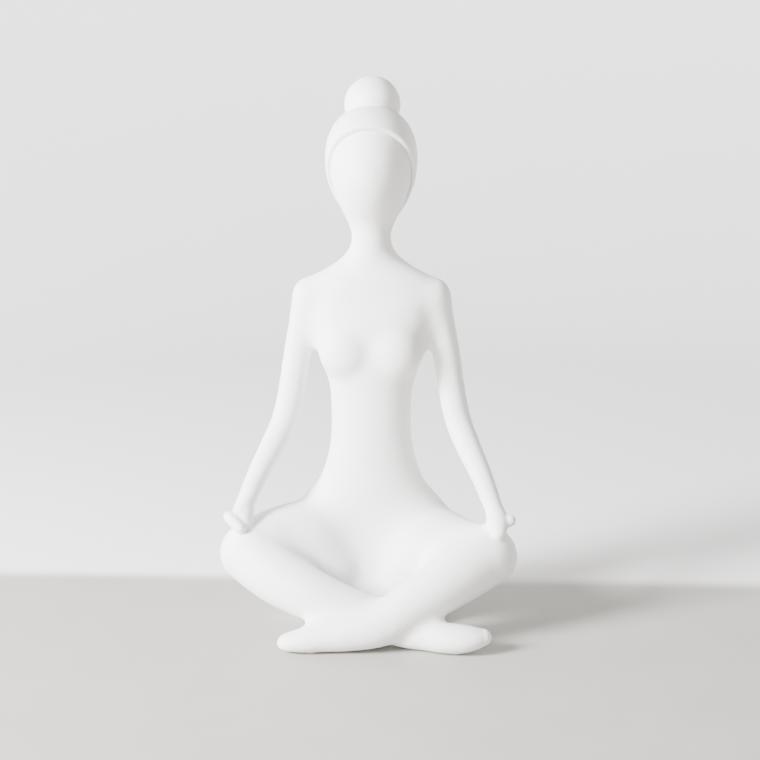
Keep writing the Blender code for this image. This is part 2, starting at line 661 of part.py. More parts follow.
def make_base(torso, plate_plastic, rubber, felt):
    """The plate that closes the seat, its rubber bung and the felt under both."""
    plate_low = FLOOR
    plate_high = plate_low + PLATE_THICKNESS
    half_width = HIP_JOINT_X - RIM_WIDTH
    half_depth = BASE_DEPTH / 2 - RIM_WIDTH
    recess = slab(half_width + JOINT_GAP, half_depth + JOINT_GAP, plate_low - 0.01, plate_high + JOINT_GAP)
    combine(torso, "DIFFERENCE", helper(recess))
    plate = helper(slab(half_width, half_depth, plate_low, plate_high))
    middle = (0, BASE_Y)
    hole = rod((*middle, 0), (*middle, 0.02), PLUG_RADIUS + PIN_CLEARANCE, 24)
    combine(plate, "DIFFERENCE", helper(hole))
    named(plate, "base_plate", plate_plastic)

    plug = helper(rod((*middle, plate_low), (*middle, plate_high + 0.002), PLUG_RADIUS, 24))
    lip_low = plate_high + JOINT_GAP
    lip = rod((*middle, lip_low), (*middle, lip_low + 0.0025), PLUG_RADIUS + PLUG_FLANGE, 24)
    combine(plug, "UNION", helper(lip))
    named(plug, "vent_plug", rubber)

    sheet = slab(HIP_JOINT_X - FELT_INSET, BASE_DEPTH / 2 - FELT_INSET, 0, FELT_THICKNESS)
    new_object("base_felt", sheet, felt)


def make_foot_pads(felt):
    """A felt disc under each foot."""
    places = {"right_foot_pad": right_shin_rows()[-4], "left_foot_pad": left_shin_rows()[-6]}
    for name, row in places.items():
        spot = row[:2]
        new_object(name, rod((*spot, 0), (*spot, FELT_THICKNESS), FOOT_PAD_RADIUS, 20), felt)


def make_pins(steel, wood):
    new_object("neck_pin", rod(*neck_pin_line(), NECK_PIN_RADIUS), steel)
    new_object("bun_pin", rod(*bun_pin_line(), BUN_PIN_RADIUS), steel)
    new_object("shin_pin", rod(*shin_pin_line(), SHIN_PIN_RADIUS), steel)
    for word, side in (("right", RIGHT), ("left", LEFT)):
        armature = wire(arm_wire_rows(side), WIRE_RADIUS)
        armature.name = f"{word}_arm_wire"
        armature.data.materials.append(steel)
        for place, line in zip(("rear", "front"), dowel_lines(side)):
            new_object(f"{word}_hip_dowel_{place}", rod(*line, DOWEL_RADIUS), wood)


def main():
    clear_scene()
    resin = material("White sprayed resin", "#EDEDEF", 0.55)
    plate_plastic = material("Grey styrene sheet", "#8A8C8E", 0.5)
    rubber = material("Black rubber", "#1E1E1F", 0.7)
    felt = material("Pale grey felt", "#C9C7C2", 0.95)
    steel = material("Galvanised steel", "#B4B6B8", 0.35, 1.0)
    wood = material("Beech dowel", "#C79F6B", 0.6)
    torso = make_body(resin)
    make_arm("right_arm", RIGHT, torso, resin)
    make_arm("left_arm", LEFT, torso, resin)
    make_head(resin)
    make_hair_cap(resin)
    make_hair_bun(resin)
    make_base(torso, plate_plastic, rubber, felt)
    make_foot_pads(felt)
    make_pins(steel, wood)


main()
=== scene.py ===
import math

import bmesh
import bpy
import numpy as np
from bpy.props import FloatProperty, FloatVectorProperty, PointerProperty
from mathutils import Matrix, Vector


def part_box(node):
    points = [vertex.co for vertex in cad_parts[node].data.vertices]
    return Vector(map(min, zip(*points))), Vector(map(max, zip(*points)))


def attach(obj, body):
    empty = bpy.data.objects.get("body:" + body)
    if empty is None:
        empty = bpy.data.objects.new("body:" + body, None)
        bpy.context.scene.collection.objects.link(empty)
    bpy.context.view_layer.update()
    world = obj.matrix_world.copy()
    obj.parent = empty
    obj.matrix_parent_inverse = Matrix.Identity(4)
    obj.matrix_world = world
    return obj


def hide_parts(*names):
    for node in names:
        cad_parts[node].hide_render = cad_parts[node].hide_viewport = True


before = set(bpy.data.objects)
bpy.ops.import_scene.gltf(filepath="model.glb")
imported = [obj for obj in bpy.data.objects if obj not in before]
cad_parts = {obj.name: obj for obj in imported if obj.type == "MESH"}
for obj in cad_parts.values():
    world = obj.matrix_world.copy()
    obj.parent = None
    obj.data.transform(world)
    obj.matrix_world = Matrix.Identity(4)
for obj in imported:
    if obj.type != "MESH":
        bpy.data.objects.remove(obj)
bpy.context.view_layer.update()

bl_info = {
    "name": "Seated Yoga Figurine",
    "version": (1, 0, 0),
    "blender": (4, 5, 0),
    "location": "View3D > Sidebar > Figurine",
    "description": "Sculpts and finishes a white seated yoga figurine round its frame",
    "category": "Object",
}

# Places read from the frame. The figurine faces -Y and its own right-hand side is at -X.
TORSO_LOW, TORSO_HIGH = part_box("torso")
HEAD_LOW, HEAD_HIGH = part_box("head")
CAP_LOW, CAP_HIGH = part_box("hair_cap")
BUN_LOW, BUN_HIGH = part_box("hair_bun")
LEG_LOW, LEG_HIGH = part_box("left_leg")
PLATE_LOW, PLATE_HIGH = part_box("base_plate")
NECK_PIN_LOW, NECK_PIN_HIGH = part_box("neck_pin")
DOWEL_LOW, DOWEL_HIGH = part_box("left_hip_dowel_rear")

FLOOR_Z = TORSO_LOW.z
NECK_Z = TORSO_HIGH.z
CROWN_Z = HEAD_HIGH.z
HIP_X = (DOWEL_LOW.x + DOWEL_HIGH.x) / 2
JOINT_GAP = 0.0003
DOUBLES = 1e-7
SLIVER = 1e-6
LAMP_SIZE = 0.8
STEP_SHARE = 0.9
NORMALS_EVERY = 4
RIGHT = -1
LEFT = 1
CASTINGS = ("torso", "head", "right_arm", "left_arm", "right_leg", "left_leg")
REPLACED = (*CASTINGS, "hair_cap", "hair_bun")


def linear(hex_colour):
    """Linear RGB of an sRGB hex colour."""
    channels = [int(hex_colour[i : i + 2], 16) / 255 for i in (1, 3, 5)]
    return tuple(c / 12.92 if c <= 0.04045 else ((c + 0.055) / 1.055) ** 2.4 for c in channels)


# ---------------------------------------------------------------- sizes and colours


def length(name, description, default):
    return FloatProperty(name=name, description=description, default=default, unit="LENGTH", precision=4)


def colour(name, description, hex_colour):
    return FloatVectorProperty(
        name=name, description=description, default=linear(hex_colour), subtype="COLOR", size=3, min=0, max=1
    )


class FigurineBody(bpy.types.PropertyGroup):
    """Sizes of the sculpted body, in metres."""

    waist_z: length("Waist height", "Table to the narrow of the waist", 0.5057 * NECK_Z)
    shoulder_z: length("Shoulder height", "Table to the middle of the shoulders", 0.8594 * NECK_Z)
    spine_y: length("Spine", "How far the trunk stands behind the origin", 0.028)
    seat_width: length("Seat width", "Widest part of the seat", 0.156)
    waist_width: length("Waist width", "Narrowest part of the trunk", 0.075)
    waist_depth: length("Waist depth", "Belly to loin at the waist", 0.050)
    chest_width: length("Chest width", "Across the ribs under the arms", 0.108)
    neck_width: length("Neck width", "Across the neck under the head", 0.0366)
    shoulder_radius: length("Shoulder radius", "Roundness of the shoulder", 0.0175)
    arm_radius: length("Upper arm radius", "Half thickness above the elbow", 0.0134)
    wrist_radius: length("Wrist radius", "Half thickness of the wrist", 0.0096)
    knee_x: length("Knee spread", "Middle of the figure to the middle of a knee", LEG_HIGH.x - 0.0281)
    knee_y: length("Knee place", "Y of the middle of a knee, less than 0 in front", -0.019)
    knee_z: length("Knee height", "Table to the middle of a knee", 0.0715)
    knee_radius: length("Knee radius", "Roundness of the knee", 0.0285)
    thigh_radius: length("Thigh radius", "Half thickness at the hip", 0.046)
    ankle_radius: length("Ankle radius", "Half thickness of the ankle", 0.014)
    wall: length("Wall", "Least thickness of the resin round the hollow", 0.006)
    clay_grain: length("Clay grain", "Size of the voxels that the body is shaped in", 0.0013)


class FigurineHair(bpy.types.PropertyGroup):
    """Sizes of the hair, in metres."""

    thickness: length("Cap thickness", "How far the hair stands off the skull", CAP_HIGH.x - HEAD_HIGH.x)
    hairline_z: length("Hairline height", "Top of the forehead", 0.4555)
    hairline_y: length("Hairline reach", "Y of the hairline's top, less than 0 in front", -0.004)
    lean: FloatProperty(
        name="Hairline lean",
        description="Of the hairline's plane from upright",
        default=math.radians(32),
        subtype="ANGLE",
    )
    grain: length("Grain", "Size of the voxels that the cap is shaped in", 0.001)


class FigurineFinish(bpy.types.PropertyGroup):
    """Colours of the finishes."""

    paint: colour("White paint", "Matt white sprayed over the castings", "#EFEFF0")
    paint_thin: colour("Thin paint", "Where the spray lies thin over the resin", "#E2E1DD")
    steel: colour("Steel", "Galvanised wire and pins", "#B4B6B8")
    steel_dull: colour("Dull steel", "The duller spangles of the zinc", "#8E9194")
    beech: colour("Beech", "Pale wood of the dowels", "#C79F6B")
    beech_grain: colour("Beech grain", "Darker pores of the dowels", "#9A7344")
    felt: colour("Felt", "Pale grey felt under the base", "#C9C7C2")
    felt_deep: colour("Felt between fibres", "The shade between the felt's fibres", "#A19E98")
    rubber: colour("Rubber", "Black bung of the base plate", "#1E1E1F")
    rubber_worn: colour("Worn rubber", "The greyer bloom on the bung", "#2E2E2F")
    styrene: colour("Styrene", "Grey sheet that closes the base", "#8A8C8E")
    styrene_pale: colour("Scuffed styrene", "Paler clouds in the grey sheet", "#96989A")
    floor: colour("Floor", "Pale studio floor", "#A6A39D")
    floor_mottle: colour("Floor mottling", "Faint cloudy patches in the floor", "#AAA7A2")
    backdrop: colour("Backdrop", "Where the floor sweeps up behind", "#F3F2F2")


# ---------------------------------------------------------------- mesh helpers


def finished(name, mesh, finish):
    """A piece of the object at the origin, shaded smooth, with one finish."""
    mesh.name = name
    mesh.materials.clear()
    mesh.materials.append(finish)
    mesh.shade_smooth()
    mesh.set_sharp_from_angle(angle=math.radians(50))
    obj = bpy.data.objects.new(name, mesh)
    bpy.context.collection.objects.link(obj)
    return obj


def mesh_of(bm, name="clay"):
    """A mesh from a bmesh, with doubles merged and its faces pointing out."""
    bmesh.ops.remove_doubles(bm, verts=bm.verts, dist=DOUBLES)
    bmesh.ops.recalc_face_normals(bm, faces=bm.faces)
    mesh = bpy.data.meshes.new(name)
    bm.to_mesh(mesh)
    bm.free()
    return mesh


def with_modifier(mesh, kind, **settings):
    """The mesh after one modifier."""
    obj = bpy.data.objects.new("clay", mesh)
    bpy.context.collection.objects.link(obj)
    modifier = obj.modifiers.new("step", kind)
    for key, value in settings.items():
        setattr(modifier, key, value)
    graph = bpy.context.evaluated_depsgraph_get()
    made = bpy.data.meshes.new_from_object(obj.evaluated_get(graph))
    bpy.data.objects.remove(obj)
    return made


def combined(mesh, operation, cutter):
    """The mesh joined with, cut by or kept inside another."""
    other = bpy.data.objects.new("cutter", cutter)
    bpy.context.collection.objects.link(other)
    made = with_modifier(mesh, "BOOLEAN", operation=operation, solver="EXACT", object=other)
    bpy.data.objects.remove(other)
    return made


def voxels(mesh, grain):
    """One skin round everything in the mesh, of even little faces."""
    return with_modifier(mesh, "REMESH", mode="VOXEL", voxel_size=grain, use_smooth_shade=True)


def is_open(edge):
    return len(edge.link_faces) == 1


def without_flaps(mesh):
    """The mesh in triangles, without the flat flaps that a cut can leave along its rim."""
    bm = bmesh.new()
    bm.from_mesh(mesh)
    bmesh.ops.remove_doubles(bm, verts=bm.verts, dist=SLIVER)
    bmesh.ops.triangulate(bm, faces=bm.faces)
    seen = {}
    for face in bm.faces:
        seen.setdefault(frozenset(face.verts), []).append(face)
    back_to_back = [face for pair in seen.values() if len(pair) == 2 for face in pair]
    bmesh.ops.delete(bm, geom=back_to_back, context="FACES")
    while flaps := {face for edge in bm.edges if is_open(edge) for face in edge.link_faces}:
        bmesh.ops.delete(bm, geom=list(flaps), context="FACES")
    return mesh_of(bm)


def sleeve(bm, segments, rings):
    """Adds a closed upright sleeve of unit rings, whose points the callers move into place."""
    points = bmesh.ops.create_circle(bm, cap_ends=True, segments=segments, radius=1)["verts"]
    edges = list({edge for point in points for edge in point.link_edges})
    for ring in range(1, rings):
        grown = bmesh.ops.extrude_edge_only(bm, edges=edges)["geom"]
        fresh = [g for g in grown if isinstance(g, bmesh.types.BMVert)]
        bmesh.ops.translate(bm, verts=fresh, vec=(0, 0, 1))
        points += fresh
        edges = [g for g in grown if isinstance(g, bmesh.types.BMEdge) and is_open(g)]
    bmesh.ops.edgeloop_fill(bm, edges=edges)
    return points


def catmull(t, p0, p1, p2, p3):
    bend = (2 * p0 - 5 * p1 + 4 * p2 - p3) * t + (3 * (p1 - p2) + p3 - p0) * t * t
    return p1 + 0.5 * t * (p2 - p0 + bend)


def smooth_rows(rows, steps):
    """Rows of numbers eased between the given ones, as a Catmull-Rom curve through them."""
    eased = []
    for i in range(len(rows) - 1):
        before = rows[max(i - 1, 0)]
        after = rows[min(i + 2, len(rows) - 1)]
        for step in range(steps):
            t = step / steps
            eased.append([catmull(t, *values) for values in zip(before, rows[i], rows[i + 1], after)])
    eased.append(list(rows[-1]))
    return eased


def stack(bm, rows, segments=72, grow=0.0):
    """Adds a body of upright sections: each row is its height, half width, front y, back y and squareness.

    A section of squareness 2 is an oval, and a larger one fills its corners out.
    """
    for point in sleeve(bm, segments, len(rows)):
        height, half_width, front, back, square = rows[round(point.co.z)]
        half_depth = (back - front) / 2
        across = squared(point.co.x, square) * (half_width + grow)
        deep = squared(point.co.y, square) * (half_depth + grow)
        point.co = (across, (front + back) / 2 + deep, height)


def squared(share, square):
    return math.copysign(abs(share) ** (2 / square), share)


def limb(bm, rows, segments=48, up=(0, 0, 1)):
    """Adds a limb along a curve: each row is a point, its half width and its half height."""
    rows = rounded_ends(rows)
    centres = [Vector(row[:3]) for row in rows]
    for point in sleeve(bm, segments, len(rows)):
        i = round(point.co.z)
        along = (centres[min(i + 1, len(rows) - 1)] - centres[max(i - 1, 0)]).normalized()
        side = along.cross(Vector(up)).normalized()
        over = side.cross(along)
        point.co = centres[i] + side * point.co.x * rows[i][3] + over * point.co.y * rows[i][4]


def rounded_ends(rows):
    """Extra rows past each end, so that the limb closes in a dome."""
    turns = [math.radians(a) for a in (86, 76, 64, 50, 34, 17)]
    first = [dome_row(rows[0], rows[1], a) for a in turns]
    last = [dome_row(rows[-1], rows[-2], a) for a in reversed(turns)]
    return first + rows + last


def dome_row(end, inner, angle):
    outward = (Vector(end[:3]) - Vector(inner[:3])).normalized()
    reach = min(end[3], end[4]) * math.sin(angle)
    return [*(Vector(end[:3]) + outward * reach), end[3] * math.cos(angle), end[4] * math.cos(angle)]


def ball(bm, centre, radii):
    """Adds a ball, or an egg where the radii differ."""
    made = bmesh.ops.create_uvsphere(bm, u_segments=64, v_segments=40, radius=1)["verts"]
    place = Matrix.Translation(centre) @ Matrix.Diagonal((*radii, 1))
    bmesh.ops.transform(bm, matrix=place, verts=made)


def prism(outline, axis, low, high):
    """A closed bar of the given flat outline between two places along the x or y axis."""
    bm = bmesh.new()
    place = {"x": lambda u, v: (low, u, v), "y": lambda u, v: (u, low, v)}[axis]
    face = bm.faces.new([bm.verts.new(place(u, v)) for u, v in outline])
    grown = bmesh.ops.extrude_face_region(bm, geom=[face])["geom"]
    fresh = [g for g in grown if isinstance(g, bmesh.types.BMVert)]
    way = Vector((1, 0, 0)) if axis == "x" else Vector((0, 1, 0))
    bmesh.ops.translate(bm, verts=fresh, vec=way * (high - low))
    return mesh_of(bm)


def cut_flat(mesh, place, outward):
    """The mesh without what lies beyond a plane, closed along the cut."""
    bm = bmesh.new()
    bm.from_mesh(mesh)
    everything = bm.verts[:] + bm.edges[:] + bm.faces[:]
    cut = bmesh.ops.bisect_plane(bm, geom=everything, plane_co=place, plane_no=outward, clear_outer=True)
    rim = [g for g in cut["geom_cut"] if isinstance(g, bmesh.types.BMEdge)]
    bmesh.ops.holes_fill(bm, edges=rim)
    return mesh_of(bm)


# ---------------------------------------------------------------- clay


def points_of(mesh):
    flat = np.empty(len(mesh.vertices) * 3)
    mesh.vertices.foreach_get("co", flat)
    return flat.reshape(-1, 3)


def put_points(mesh, points):
    mesh.vertices.foreach_set("co", points.ravel())
    mesh.update()


def normals_of(mesh):
    flat = np.empty(len(mesh.vertices) * 3)
    mesh.vertices.foreach_get("normal", flat)
    return flat.reshape(-1, 3)


class Neighbours:
    """Which points of a mesh are joined by an edge, for averaging."""

    def __init__(self, mesh):
        flat = np.empty(len(mesh.edges) * 2, np.int64)
        mesh.edges.foreach_get("vertices", flat)
        self.a, self.b = flat.reshape(-1, 2).T
        self.count = len(mesh.vertices)
        self.degree = np.bincount(flat, minlength=self.count).clip(1)

    def average(self, values):
        columns = []
        for column in values.T:
            ahead = np.bincount(self.a, column[self.b], self.count)
            columns.append((ahead + np.bincount(self.b, column[self.a], self.count)) / self.degree)
        return np.stack(columns, 1)


def fill_hollows(mesh, grain, radius_at, steps):
    """Raises the hollows until none is tighter than its radius, and leaves what stands proud."""
    near = Neighbours(mesh)
    points = points_of(mesh)
    radius = radius_at(points)
    enough = grain * grain / (4 * radius)
    for step in range(steps):
        if step % NORMALS_EVERY == 0:
            put_points(mesh, points)
            normals = normals_of(mesh)
        rise = ((near.average(points) - points) * normals).sum(1) - enough
        points += normals * (STEP_SHARE * rise.clip(0))[:, None]
    put_points(mesh, points)


def relax(mesh, steps):
    """Evens the skin by drawing each point towards its neighbours."""
    near = Neighbours(mesh)
    points = points_of(mesh)
    for _ in range(steps):
        points += 0.5 * (near.average(points) - points)
    put_points(mesh, points)


def spot(points, centre, inner, outer):
    """1 within the inner distance of a place, falling to 0 at the outer."""
    away = np.linalg.norm(points - np.array(centre), axis=1)
    t = ((outer - away) / (outer - inner)).clip(0, 1)
    return t * t * (3 - 2 * t)


# ---------------------------------------------------------------- the body's form


def trunk_rows(s):
    """The trunk from the seat to the joint under the head."""
    seat = s.seat_width / 2
    waist = s.waist_width / 2
    chest = s.chest_width / 2
    neck = s.neck_width / 2
    belly = s.spine_y - s.waist_depth / 2
    loin = s.spine_y + s.waist_depth / 2
    hip = s.waist_z - FLOOR_Z
    back = s.shoulder_z - s.waist_z
    rise = NECK_Z - s.shoulder_z
    base_y = (PLATE_LOW.y + PLATE_HIGH.y) / 2
    rows = [
        (FLOOR_Z - 0.003, 0.066, base_y - 0.056, base_y + 0.056, 2),
        (FLOOR_Z + 0.07 * hip, 0.95 * seat, belly - 0.036, loin + 0.033, 2),
        (FLOOR_Z + 0.17 * hip, seat, belly - 0.018, loin + 0.037, 2),
        (FLOOR_Z + 0.28 * hip, 0.97 * seat, belly - 0.003, loin + 0.036, 2),
        (FLOOR_Z + 0.40 * hip, 0.94 * seat, belly + 0.001, loin + 0.030, 2),
        (FLOOR_Z + 0.54 * hip, 0.93 * seat, belly + 0.001, loin + 0.021, 2),
        (FLOOR_Z + 0.62 * hip, 0.83 * seat, belly + 0.001, loin + 0.012, 2),
        (FLOOR_Z + 0.665 * hip, 0.745 * seat, belly, loin + 0.008, 2),
        (FLOOR_Z + 0.71 * hip, 1.36 * waist, belly, loin + 0.006, 2),
        (FLOOR_Z + 0.78 * hip, 1.21 * waist, belly, loin + 0.004, 2),
        (FLOOR_Z + 0.89 * hip, 1.06 * waist, belly, loin + 0.001, 2),
        (s.waist_z, waist, belly, loin, 2),
        (s.waist_z + 0.18 * back, waist, belly, loin, 2),
        (s.waist_z + 0.36 * back, 1.05 * waist, belly - 0.001, loin + 0.002, 2.1),
        (s.waist_z + 0.55 * back, 0.89 * chest, belly - 0.003, loin + 0.006, 2.2),
        (s.waist_z + 0.72 * back, 0.98 * chest, belly - 0.002, loin + 0.008, 2.4),
        (s.waist_z + 0.88 * back, 1.04 * chest, belly + 0.002, loin + 0.008, 2.6),
        (s.shoulder_z, 1.11 * chest, belly + 0.0065, loin + 0.005, 2.7),
        (s.shoulder_z + 0.24 * rise, 1.11 * chest, belly + 0.010, loin + 0.002, 2.6),
        (s.shoulder_z + 0.36 * rise, 1.02 * chest, belly + 0.0108, loin + 0.001, 2.4),
        (s.shoulder_z + 0.48 * rise, 2.38 * neck, belly + 0.0115, loin, 2.2),
        (s.shoulder_z + 0.66 * rise, 1.62 * neck, belly + 0.012, loin - 0.001, 2),
        (s.shoulder_z + 0.83 * rise, 1.19 * neck, belly + 0.012, loin - 0.002, 2),
        (NECK_Z, neck, s.spine_y + 0.003 - neck, s.spine_y + 0.004 + neck, 2),
        (NECK_Z + 0.004, neck, s.spine_y + 0.0035 - neck, s.spine_y + 0.0035 + neck, 2),
    ]
    return smooth_rows(rows, 6)


def head_rows(s):
    """The blank, egg-shaped head on its length of neck."""
    middle = (HEAD_LOW.y + HEAD_HIGH.y) / 2
    half = (HEAD_HIGH.x - HEAD_LOW.x) / 2
    deep = (HEAD_HIGH.y - HEAD_LOW.y) / 2
    tall = CROWN_Z - NECK_Z
    neck = s.neck_width / 2
    neck_y = (NECK_PIN_LOW.y + NECK_PIN_HIGH.y) / 2
    rows = [
        (NECK_Z - 0.004, neck, neck_y - neck, neck_y + neck),
        (NECK_Z, neck, neck_y - neck, neck_y + neck),
        (NECK_Z + 0.07 * tall, neck, neck_y - 1.02 * neck, neck_y + neck),
        (NECK_Z + 0.145 * tall, 0.56 * half, middle - 0.48 * deep, middle + 0.56 * deep),
        (NECK_Z + 0.22 * tall, 0.67 * half, middle - 0.64 * deep, middle + 0.72 * deep),
        (NECK_Z + 0.33 * tall, 0.82 * half, middle - 0.85 * deep, middle + 0.87 * deep),
        (NECK_Z + 0.46 * tall, 0.95 * half, middle - 0.99 * deep, middle + 0.97 * deep),
        (NECK_Z + 0.60 * tall, half, middle - deep, middle + deep),
        (NECK_Z + 0.74 * tall, 0.955 * half, middle - 0.92 * deep, middle + 0.95 * deep),
        (NECK_Z + 0.86 * tall, 0.79 * half, middle - 0.72 * deep, middle + 0.79 * deep),
        (NECK_Z + 0.94 * tall, 0.55 * half, middle - 0.48 * deep, middle + 0.56 * deep),
        (NECK_Z + 0.985 * tall, 0.28 * half, middle - 0.24 * deep, middle + 0.30 * deep),
        (CROWN_Z, 0.06 * half, middle - 0.04 * deep, middle + 0.08 * deep),
    ]
    return smooth_rows([(*row, 2) for row in rows], 6)


def hand_centre(s, side):
    return Vector((side * (s.knee_x + 0.0105), s.knee_y - 0.004, s.knee_z + s.knee_radius + 0.0055))


def arm_rows(s, side):
    """Shoulder, elbow and wrist, down to the hand."""
    hand = hand_centre(s, LEFT)
    shoulder_x = s.chest_width / 2 + 0.002
    elbow_x = shoulder_x + 0.025
    elbow_z = hand.z + 0.0795
    wrist = hand + Vector((-0.006, 0.011, 0.0135))
    rows = [
        (shoulder_x, s.spine_y + 0.006, s.shoulder_z, s.shoulder_radius),
        (shoulder_x + 0.006, s.spine_y + 0.008, s.shoulder_z - 0.026, 1.13 * s.arm_radius),
        (shoulder_x + 0.0125, s.spine_y + 0.008, s.shoulder_z - 0.052, s.arm_radius),
        (elbow_x - 0.006, s.spine_y + 0.006, elbow_z + 0.025, 0.98 * s.arm_radius),
        (elbow_x, s.spine_y + 0.002, elbow_z, 0.96 * s.arm_radius),
        (elbow_x + 0.009, s.spine_y - 0.010, elbow_z - 0.020, 0.92 * s.arm_radius),
        (wrist.x - 0.0095, wrist.y + 0.014, wrist.z + 0.022, 1.12 * s.wrist_radius),
        (*wrist, s.wrist_radius),
        (*hand, 0.9 * s.wrist_radius),
    ]
    return smooth_rows([(side * x, y, z, r, r) for x, y, z, r in rows], 6)


def yoke_rows(s):
    """The shoulder girdle, from one shoulder to the other behind the collarbones."""
    out = s.chest_width / 2 + 0.003
    radius = 0.96 * s.shoulder_radius
    half = [
        (out, s.spine_y + 0.0055, s.shoulder_z - 0.0012, radius, radius),
        (0.70 * out, s.spine_y + 0.0045, s.shoulder_z + 0.0035, 1.08 * radius, 1.06 * radius),
        (0.36 * out, s.spine_y + 0.003, s.shoulder_z + 0.0080, 1.20 * radius, 1.16 * radius),
    ]
    middle = (0, s.spine_y + 0.003, s.shoulder_z + 0.0095, 1.24 * radius, 1.20 * radius)
    other = [(-x, y, z, wide, tall) for x, y, z, wide, tall in reversed(half)]
    return smooth_rows([*half, middle, *other], 6)


def right_fingers(hand):
    """The right hand: a mitten laid on the knee and a finger curled over it."""
    mitten = [
        (hand.x + 0.0050, hand.y + 0.007, hand.z + 0.0060, 0.0088, 0.0084),
        (hand.x + 0.0045, hand.y, hand.z - 0.0010, 0.0085, 0.0080),
        (hand.x + 0.0060, hand.y - 0.005, hand.z - 0.0060, 0.0065, 0.0058),
    ]
    finger = [
        (hand.x - 0.0085, hand.y - 0.003, hand.z + 0.0015, 0.0052, 0.0052),
        (hand.x - 0.0030, hand.y - 0.008, hand.z - 0.0020, 0.0055, 0.0055),
        (hand.x + 0.0030, hand.y - 0.012, hand.z - 0.0065, 0.0052, 0.0052),
    ]
    return mitten, finger


def left_fingers(hand):
    """The left hand: a mitten that points down over the knee and a thumb that stands out."""
    mitten = [
        (hand.x - 0.0030, hand.y + 0.006, hand.z + 0.0060, 0.0090, 0.0086),
        (hand.x - 0.0010, hand.y - 0.002, hand.z - 0.0010, 0.0100, 0.0090),
        (hand.x, hand.y - 0.009, hand.z - 0.0085, 0.0068, 0.0060),
    ]
    thumb = [
        (hand.x + 0.0010, hand.y - 0.001, hand.z - 0.0010, 0.0076, 0.0076),
        (hand.x + 0.0065, hand.y - 0.001, hand.z + 0.0002, 0.0060, 0.0060),
        (hand.x + 0.0100, hand.y - 0.001, hand.z + 0.0012, 0.0056, 0.0056),
    ]
    return mitten, thumb


def thigh_rows(s, side):
    """The left thigh lies a little lower than the right, because its shin crosses in front."""
    reach = s.knee_x - 0.038
    near_drop, near_radius, far_drop, far_radius = {
        RIGHT: (0.004, 0.93, -0.001, 0.77),
        LEFT: (0.007, 0.90, 0.004, 0.69),
    }[side]
    rows = [
        (0.044, s.spine_y - 0.002, 1.10 * s.thigh_radius, s.thigh_radius),
        (0.038 + 0.33 * reach, s.spine_y - 0.010, s.knee_z - near_drop, near_radius * s.thigh_radius),
        (0.038 + 0.70 * reach, s.knee_y + 0.020, s.knee_z - far_drop, far_radius * s.thigh_radius),
        (s.knee_x, s.knee_y, s.knee_z, s.knee_radius),
    ]
    return smooth_rows([(side * x, y, z, r, r) for x, y, z, r in rows], 10)


def right_shin_rows(s):
    """The shin that crosses behind, from the right knee to the foot on the figure's left."""
    knee = s.knee_x
    ankle = s.ankle_radius
    calf = 0.92 * s.knee_radius
    drop = s.knee_z - ankle
    sole = FLOOR_Z + 0.0114
    toe = LEG_HIGH.x - 0.0236
    rows = [
        (-knee, s.knee_y, s.knee_z, s.knee_radius, s.knee_radius),
        (-0.745 * knee, s.knee_y - 0.018, s.knee_z - 0.28 * drop, calf, calf),
        (-0.465 * knee, s.knee_y - 0.031, s.knee_z - 0.505 * drop, 0.0232, 0.0232),
        (-0.185 * knee, s.knee_y - 0.0365, s.knee_z - 0.695 * drop, 0.0208, 0.0208),
        (0.075 * knee, s.knee_y - 0.039, s.knee_z - 0.825 * drop, 0.0180, 0.0180),
        (0.315 * knee, s.knee_y - 0.046, s.knee_z - 0.955 * drop, 1.12 * ankle, 1.12 * ankle),
        (0.50 * knee, s.knee_y - 0.051, ankle, ankle, ankle),
        (toe - 0.042, s.knee_y - 0.0560, sole, 0.0150, 0.0134),
        (toe - 0.027, s.knee_y - 0.0580, sole, 0.0152, 0.0124),
        (toe - 0.0155, s.knee_y - 0.0580, sole + 0.0008, 0.0128, 0.0102),
        (toe - 0.0075, s.knee_y - 0.0570, sole + 0.0016, 0.0094, 0.0074),
    ]
    return smooth_rows(rows, 6)


def left_shin_rows(s):
    """The shin that crosses in front, from the left knee to the foot on the figure's right."""
    knee = s.knee_x
    drop = s.knee_z - s.ankle_radius
    toe = LEG_LOW.x + 0.0045
    rows = [
        (knee - 0.002, s.knee_y, s.knee_z, s.knee_radius, s.knee_radius),
        (0.715 * knee, s.knee_y - 0.0220, s.knee_z - 0.26 * drop, 0.91 * s.knee_radius, 0.91 * s.knee_radius),
        (0.428 * knee, s.knee_y - 0.0405, s.knee_z - 0.54 * drop, 0.0222, 0.0222),
        (0.149 * knee, s.knee_y - 0.0525, s.knee_z - 0.825 * drop, 0.0198, 0.0198),
        (-0.130 * knee, s.knee_y - 0.0575, s.knee_z - 0.94 * drop, 0.0175, 0.0170),
        (-0.353 * knee, s.knee_y - 0.0605, s.ankle_radius, 1.04 * s.ankle_radius, s.ankle_radius),
        (toe + 0.027, s.knee_y - 0.0625, FLOOR_Z + 0.0097, 0.0140, 0.0118),
        (toe + 0.014, s.knee_y - 0.0635, FLOOR_Z + 0.0080, 0.0124, 0.0094),
        (toe + 0.007, s.knee_y - 0.0635, FLOOR_Z + 0.0072, 0.0104, 0.0078),
    ]
    return smooth_rows(rows, 6)


